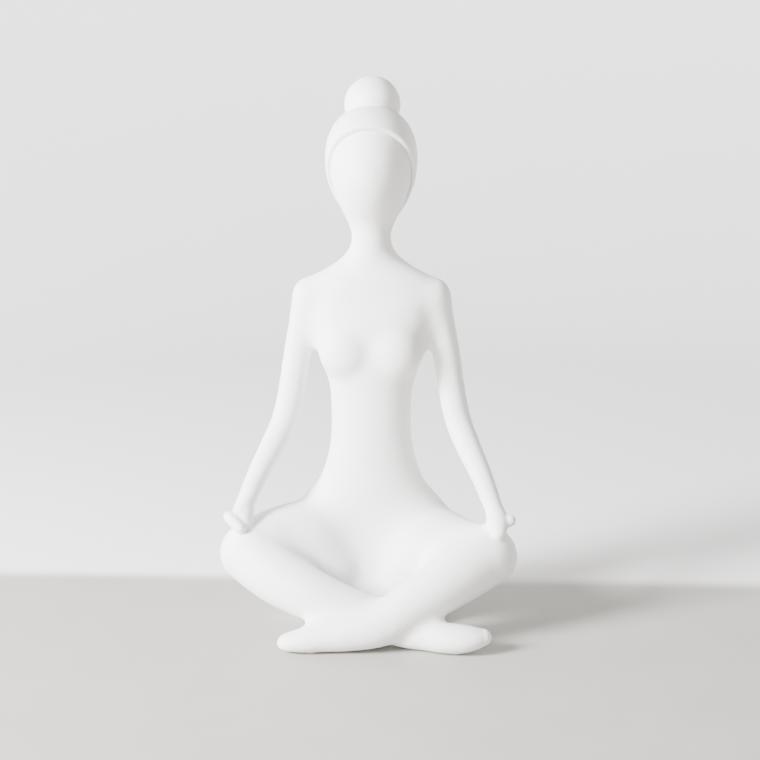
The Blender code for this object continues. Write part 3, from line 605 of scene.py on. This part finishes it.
def soft_form(s):
    """Trunk, neck, head, arms and legs, run together as in clay."""
    belly = s.spine_y - s.waist_depth / 2
    bm = bmesh.new()
    stack(bm, trunk_rows(s))
    stack(bm, head_rows(s))
    limb(bm, right_shin_rows(s))
    limb(bm, left_shin_rows(s))
    limb(bm, yoke_rows(s))
    ball(bm, (0, belly + 0.0180, s.waist_z + 0.0980), (0.0440, 0.0168, 0.0340))
    for side in (RIGHT, LEFT):
        limb(bm, thigh_rows(s, side))
        limb(bm, arm_rows(s, side), up=(0, 1, 0))
        ball(bm, (side * 0.0215, belly + 0.0118, s.waist_z + 0.0750), (0.0262, 0.0195, 0.0268))
    grain = 2 * s.clay_grain
    mesh = voxels(mesh_of(bm), grain)

    def radius_at(points):
        """How round a hollow has to be: tight in the creases, wide where flesh runs together."""
        radius = np.full(len(points), 0.004)

        def widen(least, centre, inner, outer):
            np.maximum(radius, least * spot(points, centre, inner, outer), out=radius)

        widen(0.0075, (0, belly, s.waist_z + 0.078), 0.030, 0.050)
        widen(0.060, (0, belly, s.waist_z + 0.126), 0.034, 0.052)
        widen(0.085, (0, belly - 0.003, s.waist_z - 0.068), 0.044, 0.072)
        widen(0.050, (0.072, s.knee_y - 0.010, s.knee_z + 0.008), 0.040, 0.060)
        widen(0.040, (-0.018, s.knee_y - 0.052, 0.032), 0.034, 0.055)
        widen(0.035, (0, s.spine_y - 0.022, NECK_Z + 0.012), 0.020, 0.040)
        for side in (RIGHT, LEFT):
            widen(0.012, (side * 0.051, s.spine_y, s.shoulder_z - 0.042), 0.020, 0.045)
            widen(0.040, (side * 0.050, s.spine_y, s.shoulder_z - 0.002), 0.028, 0.050)
            widen(0.050, (side * 0.058, s.spine_y, s.waist_z - 0.062), 0.035, 0.070)
        return radius

    for _ in range(3):
        fill_hollows(mesh, grain, radius_at, 170)
        relax(mesh, 1)
        mesh = voxels(mesh, grain)
    relax(mesh, 4)
    return mesh


def figure_form(s):
    """The whole figure in one skin, with its crossed shin crisp again and its hands."""
    bm = bmesh.new()
    bm.from_mesh(soft_form(s))
    limb(bm, right_shin_rows(s))
    for rows in right_fingers(hand_centre(s, RIGHT)) + left_fingers(hand_centre(s, LEFT)):
        limb(bm, smooth_rows(rows, 5), up=(0, 1, 0))
    mesh = voxels(mesh_of(bm), s.clay_grain)

    def radius_at(points):
        radius = np.full(len(points), 0.0018)
        saddle = (-0.018, s.knee_y - 0.052, 0.032)
        return np.maximum(radius, 0.040 * spot(points, saddle, 0.034, 0.055))

    fill_hollows(mesh, s.clay_grain, radius_at, 80)
    relax(mesh, 3)
    return cut_flat(mesh, (0, 0, FLOOR_Z), (0, 0, -1))


# ---------------------------------------------------------------- where the castings part


def arm_cutter(s, side):
    """Everything outside the shoulder's joint and above the knee."""
    knee = Vector((s.knee_x, s.knee_z))
    hand = hand_centre(s, LEFT)
    lift = (Vector((hand.x, hand.z)) - knee).normalized()
    seam = knee + lift * 0.97 * s.knee_radius
    out = Vector((lift.y, -lift.x))
    armpit_z = s.shoulder_z - 0.042
    outline = [
        (0.038, s.shoulder_z + 0.040),
        (0.0515, armpit_z),
        (0.058, s.waist_z + 0.020),
        (0.080, s.waist_z - 0.050),
        tuple(seam - out * 0.016),
        tuple(seam + out * 0.050),
        (0.2, s.knee_z),
        (0.2, s.shoulder_z + 0.040),
    ]
    return prism([(side * x, z) for x, z in outline], "y", -0.2, 0.2)


def torso_cutter(s):
    """The trunk's room: between the hips, behind the shins and all that is over the thighs."""
    top = 0.815 * s.waist_z
    lap = [(-0.046, -0.02), (-0.034, 0.062), (-0.060, top), (0.2, top), (0.2, -0.02)]
    lower = prism(lap, "x", -HIP_X, HIP_X)
    upper = prism([(-0.2, top), (0.2, top), (0.2, NECK_Z + 0.02), (-0.2, NECK_Z + 0.02)], "x", -0.08, 0.08)
    return combined(lower, "UNION", upper)


def leg_section(rows, x):
    """Centre and radius in the upright slice of a shin at x."""
    ordered = sorted(rows)
    spread = [row[0] for row in ordered]
    return [float(np.interp(x, spread, [row[k] for row in ordered])) for k in (1, 2, 4)]


def shin_cutter(s):
    """The front shin's side of the joint between the shins, slice by slice along x."""
    back_rows = right_shin_rows(s)
    front_rows = left_shin_rows(s)
    places = np.linspace(-0.085, 0.105, 39)
    bm = bmesh.new()
    points = sleeve(bm, 4, len(places) + 2)
    last = len(places) + 1
    for point in points:
        ring = round(point.co.z)
        x = float(places[min(max(ring - 1, 0), len(places) - 1)])
        y0, z0, r0 = leg_section(back_rows, x)
        y1, z1, r1 = leg_section(front_rows, x)
        apart = Vector((y1 - y0, z1 - z0))
        share = (apart.length_squared + r0 * r0 - r1 * r1) / (2 * apart.length_squared)
        middle = Vector((y0, z0)) + apart * min(max(share, 0.1), 0.9)
        toward = apart.normalized()
        across = Vector((-toward.y, toward.x))
        corner = round(math.degrees(math.atan2(point.co.y, point.co.x)) / 90) % 4
        offset = {
            0: across * 0.12,
            1: across * 0.12 + toward * 0.25,
            2: across * -0.12 + toward * 0.25,
            3: across * -0.12,
        }[corner]
        place = middle + offset
        stretch = -0.2 if ring == 0 else 0.2 if ring == last else x
        point.co = (stretch, place.x, place.y)
    return mesh_of(bm)


def plate_recess():
    """The oval step under the seat that the base plate is let into."""
    half_width = (PLATE_HIGH.x - PLATE_LOW.x) / 2 + JOINT_GAP
    half_depth = (PLATE_HIGH.y - PLATE_LOW.y) / 2 + JOINT_GAP
    low = PLATE_LOW.z - 0.01
    middle = Vector((0, (PLATE_LOW.y + PLATE_HIGH.y) / 2, (low + PLATE_HIGH.z + JOINT_GAP) / 2))
    tall = PLATE_HIGH.z + JOINT_GAP - low
    bm = bmesh.new()
    bmesh.ops.create_cone(bm, cap_ends=True, segments=80, radius1=1, radius2=1, depth=tall)
    place = Matrix.Translation(middle) @ Matrix.Diagonal((half_width, half_depth, 1, 1))
    bmesh.ops.transform(bm, matrix=place, verts=bm.verts)
    return mesh_of(bm)


def hollow(s):
    """The hollow up the trunk, which the base plate closes."""
    top = s.shoulder_z - 0.0175
    tall = top - FLOOR_Z
    front = s.spine_y - s.waist_depth / 2 + s.wall
    back = s.spine_y + s.waist_depth / 2 - s.wall
    waist = s.waist_width / 2 - s.wall
    ledge = PLATE_HIGH.y - 0.004
    rows = [
        (FLOOR_Z - 0.010, 0.032, front + 0.002, ledge, 2),
        (FLOOR_Z + 0.10 * tall, 0.032, front + 0.002, ledge, 2),
        (FLOOR_Z + 0.30 * tall, 0.032, front + 0.002, back + 0.018, 2),
        (FLOOR_Z + 0.50 * tall, waist, front, back, 2),
        (FLOOR_Z + 0.78 * tall, waist, front, back, 2),
        (FLOOR_Z + 0.93 * tall, waist, front + 0.004, back, 2),
        (top, 0.4 * waist, s.spine_y - 0.008, s.spine_y + 0.008, 2),
    ]
    bm = bmesh.new()
    stack(bm, smooth_rows(rows, 4), segments=48)
    return mesh_of(bm)


def make_castings(s, paint):
    """The figure's skin parted into its castings, which meet with no gap."""
    rest = figure_form(s)
    neck = prism([(-0.2, NECK_Z), (0.2, NECK_Z), (0.2, 0.6), (-0.2, 0.6)], "x", -0.2, 0.2)
    parts = {"head": combined(rest, "INTERSECT", neck)}
    rest = combined(rest, "DIFFERENCE", neck)
    for name, side in (("right_arm", RIGHT), ("left_arm", LEFT)):
        cutter = arm_cutter(s, side)
        parts[name] = combined(rest, "INTERSECT", cutter)
        rest = combined(rest, "DIFFERENCE", cutter)
    cutter = torso_cutter(s)
    torso = combined(rest, "INTERSECT", cutter)
    rest = combined(rest, "DIFFERENCE", cutter)
    torso = combined(torso, "DIFFERENCE", plate_recess())
    parts["torso"] = combined(torso, "DIFFERENCE", hollow(s))
    flank = [(-0.016, -0.02), (0.12, -0.02), (0.12, 0.2), (-0.016, 0.2)]
    cutter = combined(shin_cutter(s), "UNION", prism(flank, "x", HIP_X - 0.001, 0.2))
    parts["left_leg"] = combined(rest, "INTERSECT", cutter)
    parts["right_leg"] = combined(rest, "DIFFERENCE", cutter)
    for name, mesh in parts.items():
        piece = finished("cast_" + name, without_flaps(mesh), paint)
        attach(piece, "root")
        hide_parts(name)


# ---------------------------------------------------------------- hair


def hair_form(s, hair):
    """The skull's form grown by the hair, cut off along the hairline and the nape, and hollow inside."""
    bm = bmesh.new()
    stack(bm, head_rows(s), grow=hair.thickness)
    lift = (CROWN_Z + hair.thickness - NECK_Z) / (CROWN_Z - NECK_Z)
    for vert in bm.verts:
        vert.co.z = NECK_Z + (vert.co.z - NECK_Z) * lift
    cap = voxels(mesh_of(bm), hair.grain)
    toward_face = Vector((0, -math.cos(hair.lean), -math.sin(hair.lean)))
    cap = cut_flat(cap, (0, hair.hairline_y, hair.hairline_z), toward_face)
    cap = cut_flat(cap, (0, 0, CAP_LOW.z), (0, 0, -1))
    cap = voxels(cap, hair.grain)
    relax(cap, 6)
    bm = bmesh.new()
    stack(bm, head_rows(s))
    return without_flaps(combined(cap, "DIFFERENCE", mesh_of(bm)))


def make_hair(s, hair, paint):
    cap = finished("cast_hair_cap", hair_form(s, hair), paint)
    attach(cap, "root")
    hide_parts("hair_cap")

    radius = (BUN_HIGH.x - BUN_LOW.x) / 2
    centre = (0, (BUN_LOW.y + BUN_HIGH.y) / 2, BUN_HIGH.z - radius)
    bm = bmesh.new()
    ball(bm, centre, (radius, radius, radius))
    bun = finished("cast_hair_bun", mesh_of(bm), paint)
    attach(bun, "root")
    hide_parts("hair_bun")


# ---------------------------------------------------------------- materials


def add_node(tree, kind, values=(), links=(), **settings):
    """A node with its settings, its constants by socket and its links by socket."""
    node = tree.nodes.new(kind)
    for key, setting in settings.items():
        setattr(node, key, setting)
    for socket, constant in dict(values).items():
        node.inputs[socket].default_value = constant
    for socket, source in dict(links).items():
        tree.links.new(source, node.inputs[socket])
    return node


def new_material(name):
    """A new material, its node tree, the place on the piece and the socket for its surface."""
    made = bpy.data.materials.new(name)
    made.use_nodes = True
    tree = made.node_tree
    tree.nodes.remove(tree.nodes["Principled BSDF"])
    place = add_node(tree, "ShaderNodeTexCoord").outputs["Object"]
    return made, tree, place, tree.nodes["Material Output"].inputs["Surface"]


def sprayed_paint(finish):
    """Matt white acrylic sprayed on cast resin.

    Real spray dries with a fine tooth of about 0.2 mm, drawn here at 1 mm so that it shows, over slow
    swells of about 12 mm left by sanding. The eye gets a soft even white with no gloss.
    """
    made, tree, place, surface = new_material("Matt white sprayed acrylic")
    thick = add_node(
        tree, "ShaderNodeTexNoise", {"Scale": 22, "Detail": 4, "Roughness": 0.55}, {"Vector": place}
    )
    tooth = add_node(
        tree, "ShaderNodeTexNoise", {"Scale": 1000, "Detail": 2, "Roughness": 0.6}, {"Vector": place}
    )
    swell = add_node(tree, "ShaderNodeTexNoise", {"Scale": 80, "Detail": 2}, {"Vector": place})
    thin = add_node(
        tree,
        "ShaderNodeMapRange",
        {"From Min": 0.45, "From Max": 0.80, "To Max": 0.40},
        {"Value": thick.outputs["Fac"]},
    )
    tone = add_node(
        tree,
        "ShaderNodeMix",
        {6: (*finish.paint, 1), 7: (*finish.paint_thin, 1)},
        {0: thin.outputs["Result"]},
        data_type="RGBA",
    )
    matt = add_node(
        tree,
        "ShaderNodeMapRange",
        {"From Min": 0.3, "From Max": 0.7, "To Min": 0.56, "To Max": 0.68},
        {"Value": tooth.outputs["Fac"]},
    )
    slow = add_node(
        tree, "ShaderNodeBump", {"Strength": 0.10, "Distance": 0.0006}, {"Height": swell.outputs["Fac"]}
    )
    fine = add_node(
        tree,
        "ShaderNodeBump",
        {"Strength": 0.14, "Distance": 0.0002},
        {"Height": tooth.outputs["Fac"], "Normal": slow.outputs["Normal"]},
    )
    shader = add_node(
        tree,
        "ShaderNodeBsdfPrincipled",
        {"IOR": 1.49},
        {
            "Base Color": tone.outputs[2],
            "Roughness": matt.outputs["Result"],
            "Normal": fine.outputs["Normal"],
        },
    )
    tree.links.new(shader.outputs["BSDF"], surface)
    return made


def galvanised_steel(finish):
    """Zinc-dipped wire and pins: a bright grey metal with dull spangles about 2 mm across."""
    made, tree, place, surface = new_material("Galvanised steel")
    spangle = add_node(tree, "ShaderNodeTexVoronoi", {"Scale": 500}, {"Vector": place})
    parts = add_node(tree, "ShaderNodeSeparateColor", links={"Color": spangle.outputs["Color"]})
    tone = add_node(
        tree,
        "ShaderNodeMix",
        {6: (*finish.steel, 1), 7: (*finish.steel_dull, 1)},
        {0: parts.outputs["Red"]},
        data_type="RGBA",
    )
    dull = add_node(
        tree, "ShaderNodeMapRange", {"To Min": 0.32, "To Max": 0.48}, {"Value": parts.outputs["Green"]}
    )
    shader = add_node(
        tree,
        "ShaderNodeBsdfPrincipled",
        {"Metallic": 1},
        {"Base Color": tone.outputs[2], "Roughness": dull.outputs["Result"]},
    )
    tree.links.new(shader.outputs["BSDF"], surface)
    return made


def turned_beech(finish):
    """Beech dowels: pale pinkish wood with rings 2 mm apart and short dark rays along the grain."""
    made, tree, place, surface = new_material("Turned beech")
    drawn_out = add_node(tree, "ShaderNodeMapping", {"Scale": (0.08, 1, 1)}, {"Vector": place})
    along = drawn_out.outputs["Vector"]
    rings = add_node(
        tree, "ShaderNodeTexWave", {"Scale": 160, "Distortion": 3, "Detail": 2}, {"Vector": along}
    )
    rays = add_node(tree, "ShaderNodeTexNoise", {"Scale": 2500, "Detail": 2}, {"Vector": along})
    ringed = add_node(
        tree, "ShaderNodeMapRange", {"From Min": 0.2, "To Max": 0.45}, {"Value": rings.outputs["Fac"]}
    )
    flecked = add_node(
        tree,
        "ShaderNodeMapRange",
        {"From Min": 0.55, "From Max": 0.75, "To Max": 0.5},
        {"Value": rays.outputs["Fac"]},
    )
    grain = add_node(
        tree,
        "ShaderNodeMath",
        links={0: ringed.outputs["Result"], 1: flecked.outputs["Result"]},
        operation="MAXIMUM",
    )
    tone = add_node(
        tree,
        "ShaderNodeMix",
        {6: (*finish.beech, 1), 7: (*finish.beech_grain, 1)},
        {0: grain.outputs["Value"]},
        data_type="RGBA",
    )
    rough = add_node(
        tree, "ShaderNodeMapRange", {"To Min": 0.55, "To Max": 0.72}, {"Value": grain.outputs["Value"]}
    )
    relief = add_node(
        tree, "ShaderNodeBump", {"Strength": 0.25, "Distance": 0.0002}, {"Height": rays.outputs["Fac"]}
    )
    shader = add_node(
        tree,
        "ShaderNodeBsdfPrincipled",
        {"IOR": 1.54},
        {
            "Base Color": tone.outputs[2],
            "Roughness": rough.outputs["Result"],
            "Normal": relief.outputs["Normal"],
        },
    )
    tree.links.new(shader.outputs["BSDF"], surface)
    return made


def wool_felt(finish):
    """Pressed wool felt: tangled fibres 0.5 mm apart, drawn as wide, that scatter the light softly."""
    made, tree, place, surface = new_material("Pressed wool felt")
    tangle = add_node(
        tree, "ShaderNodeTexNoise", {"Scale": 2000, "Detail": 3, "Distortion": 1.5}, {"Vector": place}
    )
    cloud = add_node(tree, "ShaderNodeTexNoise", {"Scale": 120, "Detail": 2}, {"Vector": place})
    both = add_node(
        tree,
        "ShaderNodeMath",
        links={0: tangle.outputs["Fac"], 1: cloud.outputs["Fac"]},
        operation="MULTIPLY",
    )
    lit = add_node(
        tree, "ShaderNodeMapRange", {"From Min": 0.12, "From Max": 0.42}, {"Value": both.outputs["Value"]}
    )
    tone = add_node(
        tree,
        "ShaderNodeMix",
        {6: (*finish.felt_deep, 1), 7: (*finish.felt, 1)},
        {0: lit.outputs["Result"]},
        data_type="RGBA",
    )
    relief = add_node(
        tree, "ShaderNodeBump", {"Strength": 0.6, "Distance": 0.0004}, {"Height": tangle.outputs["Fac"]}
    )
    shader = add_node(
        tree,
        "ShaderNodeBsdfPrincipled",
        {"Roughness": 0.95, "Sheen Weight": 0.4},
        {"Base Color": tone.outputs[2], "Normal": relief.outputs["Normal"]},
    )
    tree.links.new(shader.outputs["BSDF"], surface)
    return made


def moulded(name, first, second, roughness, grain, depth):
    """A moulded plastic or rubber: two near tones in clouds, and a fine texture from its mould."""
    made, tree, place, surface = new_material(name)
    cloud = add_node(tree, "ShaderNodeTexNoise", {"Scale": 150, "Detail": 3}, {"Vector": place})
    texture = add_node(tree, "ShaderNodeTexNoise", {"Scale": grain, "Detail": 2}, {"Vector": place})
    share = add_node(
        tree, "ShaderNodeMapRange", {"From Min": 0.35, "From Max": 0.7}, {"Value": cloud.outputs["Fac"]}
    )
    tone = add_node(
        tree,
        "ShaderNodeMix",
        {6: (*first, 1), 7: (*second, 1)},
        {0: share.outputs["Result"]},
        data_type="RGBA",
    )
    rough = add_node(
        tree,
        "ShaderNodeMapRange",
        {"From Min": 0.3, "From Max": 0.7, "To Min": roughness - 0.06, "To Max": roughness + 0.06},
        {"Value": texture.outputs["Fac"]},
    )
    relief = add_node(
        tree, "ShaderNodeBump", {"Strength": 0.2, "Distance": depth}, {"Height": texture.outputs["Fac"]}
    )
    shader = add_node(
        tree,
        "ShaderNodeBsdfPrincipled",
        links={
            "Base Color": tone.outputs[2],
            "Roughness": rough.outputs["Result"],
            "Normal": relief.outputs["Normal"],
        },
    )
    tree.links.new(shader.outputs["BSDF"], surface)
    return made


def pale_floor(finish):
    """Matt laminate table top, with faint mottling, that turns to a white backdrop behind."""
    made, tree, place, surface = new_material("Pale studio floor")
    parts = add_node(tree, "ShaderNodeSeparateXYZ", links={"Vector": place})
    behind = add_node(
        tree,
        "ShaderNodeMapRange",
        {"From Min": 0.11, "From Max": 0.15},
        {"Value": parts.outputs["Y"]},
        interpolation_type="SMOOTHSTEP",
    )
    cloud = add_node(tree, "ShaderNodeTexNoise", {"Scale": 14, "Detail": 5}, {"Vector": place})
    mottle = add_node(
        tree, "ShaderNodeMapRange", {"From Min": 0.35, "From Max": 0.65}, {"Value": cloud.outputs["Fac"]}
    )
    table = add_node(
        tree,
        "ShaderNodeMix",
        {6: (*finish.floor, 1), 7: (*finish.floor_mottle, 1)},
        {0: mottle.outputs["Result"]},
        data_type="RGBA",
    )
    tone = add_node(
        tree,
        "ShaderNodeMix",
        {7: (*finish.backdrop, 1)},
        {0: behind.outputs["Result"], 6: table.outputs[2]},
        data_type="RGBA",
    )
    shader = add_node(tree, "ShaderNodeBsdfPrincipled", {"Roughness": 0.6}, {"Base Color": tone.outputs[2]})
    tree.links.new(shader.outputs["BSDF"], surface)
    return made


# ---------------------------------------------------------------- studio


def make_stage(finish):
    """A round pale cove with the figurine in the middle, soft lights and the camera."""
    bm = bmesh.new()
    reach = 2.2
    bend = 0.8
    outline = [(0.0, 0.0), (reach - bend, 0.0)]
    turns = [math.radians(a) for a in range(10, 91, 10)]
    outline += [(reach - bend + bend * math.sin(a), bend - bend * math.cos(a)) for a in turns]
    outline.append((reach, 3.2))
    points = [bm.verts.new((x, 0, z)) for x, z in outline]
    edges = [bm.edges.new(pair) for pair in zip(points, points[1:])]
    bmesh.ops.spin(
        bm, geom=points + edges, axis=(0, 0, 1), cent=(0, 0, 0), angle=math.tau, steps=96, use_merge=True
    )
    bmesh.ops.remove_doubles(bm, verts=bm.verts, dist=1e-5)
    bmesh.ops.recalc_face_normals(bm, faces=bm.faces)
    bmesh.ops.reverse_faces(bm, faces=bm.faces)
    mesh = bpy.data.meshes.new("studio_cove")
    bm.to_mesh(mesh)
    bm.free()
    cove = finished("studio_cove", mesh, pale_floor(finish))

    def light(name, place, power):
        data = bpy.data.lights.new(name, "AREA")
        data.shape = "DISK"
        data.size = LAMP_SIZE
        data.energy = power
        lamp = bpy.data.objects.new(name, data)
        lamp.location = place
        aim = Vector((0, 0, 0.25)) - Vector(place)
        lamp.rotation_euler = aim.to_track_quat("-Z", "Y").to_euler()
        bpy.context.collection.objects.link(lamp)

    light("key", (-1.64, -1.13, 1.08), 290)
    light("front", (-0.9, -1.9, 0.42), 24)
    world = bpy.data.worlds.new("studio")
    world.use_nodes = True
    world.node_tree.nodes["Background"].inputs["Color"].default_value = (0.9, 0.92, 0.95, 1)
    world.node_tree.nodes["Background"].inputs["Strength"].default_value = 0.15
    bpy.context.scene.world = world

    data = bpy.data.cameras.new("camera")
    data.lens = 75
    data.sensor_width = 36
    camera = bpy.data.objects.new("camera", data)
    camera.location = (0.0831, -1.4046, 0.498)
    camera.rotation_euler = (math.radians(79.2), 0, math.radians(3))
    bpy.context.collection.objects.link(camera)
    bpy.context.scene.camera = camera


# ---------------------------------------------------------------- operators


class FIGURINE_OT_body(bpy.types.Operator):
    """Sculpts the body and parts it into its castings"""

    bl_idname = "figurine.body"
    bl_label = "Body castings"

    def execute(self, context):
        scene = context.scene
        make_castings(scene.figurine_body, sprayed_paint(scene.figurine_finish))
        return {"FINISHED"}


class FIGURINE_OT_hair(bpy.types.Operator):
    """Makes the hair cap and the bun"""

    bl_idname = "figurine.hair"
    bl_label = "Hair"

    def execute(self, context):
        scene = context.scene
        paint = bpy.data.materials.get("Matt white sprayed acrylic")
        make_hair(scene.figurine_body, scene.figurine_hair, paint)
        return {"FINISHED"}


class FIGURINE_OT_inner(bpy.types.Operator):
    """Gives the pins, wires, dowels, base plate, bung and felts their finishes"""

    bl_idname = "figurine.inner"
    bl_label = "Inner and underside parts"

    def execute(self, context):
        finish = context.scene.figurine_finish
        steel = galvanised_steel(finish)
        beech = turned_beech(finish)
        felt = wool_felt(finish)
        grey = (finish.styrene, finish.styrene_pale)
        styrene = moulded("High-impact styrene sheet", *grey, roughness=0.45, grain=1500, depth=0.0001)
        black = (finish.rubber, finish.rubber_worn)
        rubber = moulded("Moulded black rubber", *black, roughness=0.70, grain=1100, depth=0.0002)
        finishes = {"pin": steel, "wire": steel, "dowel": beech, "felt": felt, "pad": felt}
        finishes.update({"base_plate": styrene, "vent_plug": rubber})
        for name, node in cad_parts.items():
            if name in REPLACED:
                continue
            words = [word for word in finishes if word in name]
            if not words:
                raise RuntimeError(f"no finish is given for {name}")
            for slot in node.material_slots:
                slot.material = finishes[words[0]]
        return {"FINISHED"}


class FIGURINE_OT_stage(bpy.types.Operator):
    """Makes the floor, the lights and the camera"""

    bl_idname = "figurine.stage"
    bl_label = "Studio"

    def execute(self, context):
        make_stage(context.scene.figurine_finish)
        return {"FINISHED"}


class FIGURINE_PT_panel(bpy.types.Panel):
    """Sizes, colours and steps of the figurine"""

    bl_idname = "FIGURINE_PT_panel"
    bl_label = "Figurine"
    bl_space_type = "VIEW_3D"
    bl_region_type = "UI"
    bl_category = "Figurine"

    def draw(self, context):
        scene = context.scene
        for group in (scene.figurine_body, scene.figurine_hair, scene.figurine_finish):
            column = self.layout.column()
            for key in group.__annotations__:
                column.prop(group, key)
        for operator in OPERATORS:
            self.layout.operator(operator.bl_idname)


GROUPS = (FigurineBody, FigurineHair, FigurineFinish)
OPERATORS = (FIGURINE_OT_stage, FIGURINE_OT_body, FIGURINE_OT_hair, FIGURINE_OT_inner)


def register():
    for cls in GROUPS + OPERATORS + (FIGURINE_PT_panel,):
        bpy.utils.register_class(cls)
    bpy.types.Scene.figurine_body = PointerProperty(type=FigurineBody)
    bpy.types.Scene.figurine_hair = PointerProperty(type=FigurineHair)
    bpy.types.Scene.figurine_finish = PointerProperty(type=FigurineFinish)


def unregister():
    del bpy.types.Scene.figurine_finish
    del bpy.types.Scene.figurine_hair
    del bpy.types.Scene.figurine_body
    for cls in reversed(GROUPS + OPERATORS + (FIGURINE_PT_panel,)):
        bpy.utils.unregister_class(cls)


def main():
    register()
    bpy.ops.figurine.stage()
    bpy.ops.figurine.body()
    bpy.ops.figurine.hair()
    bpy.ops.figurine.inner()


if __name__ == "__main__":
    main()
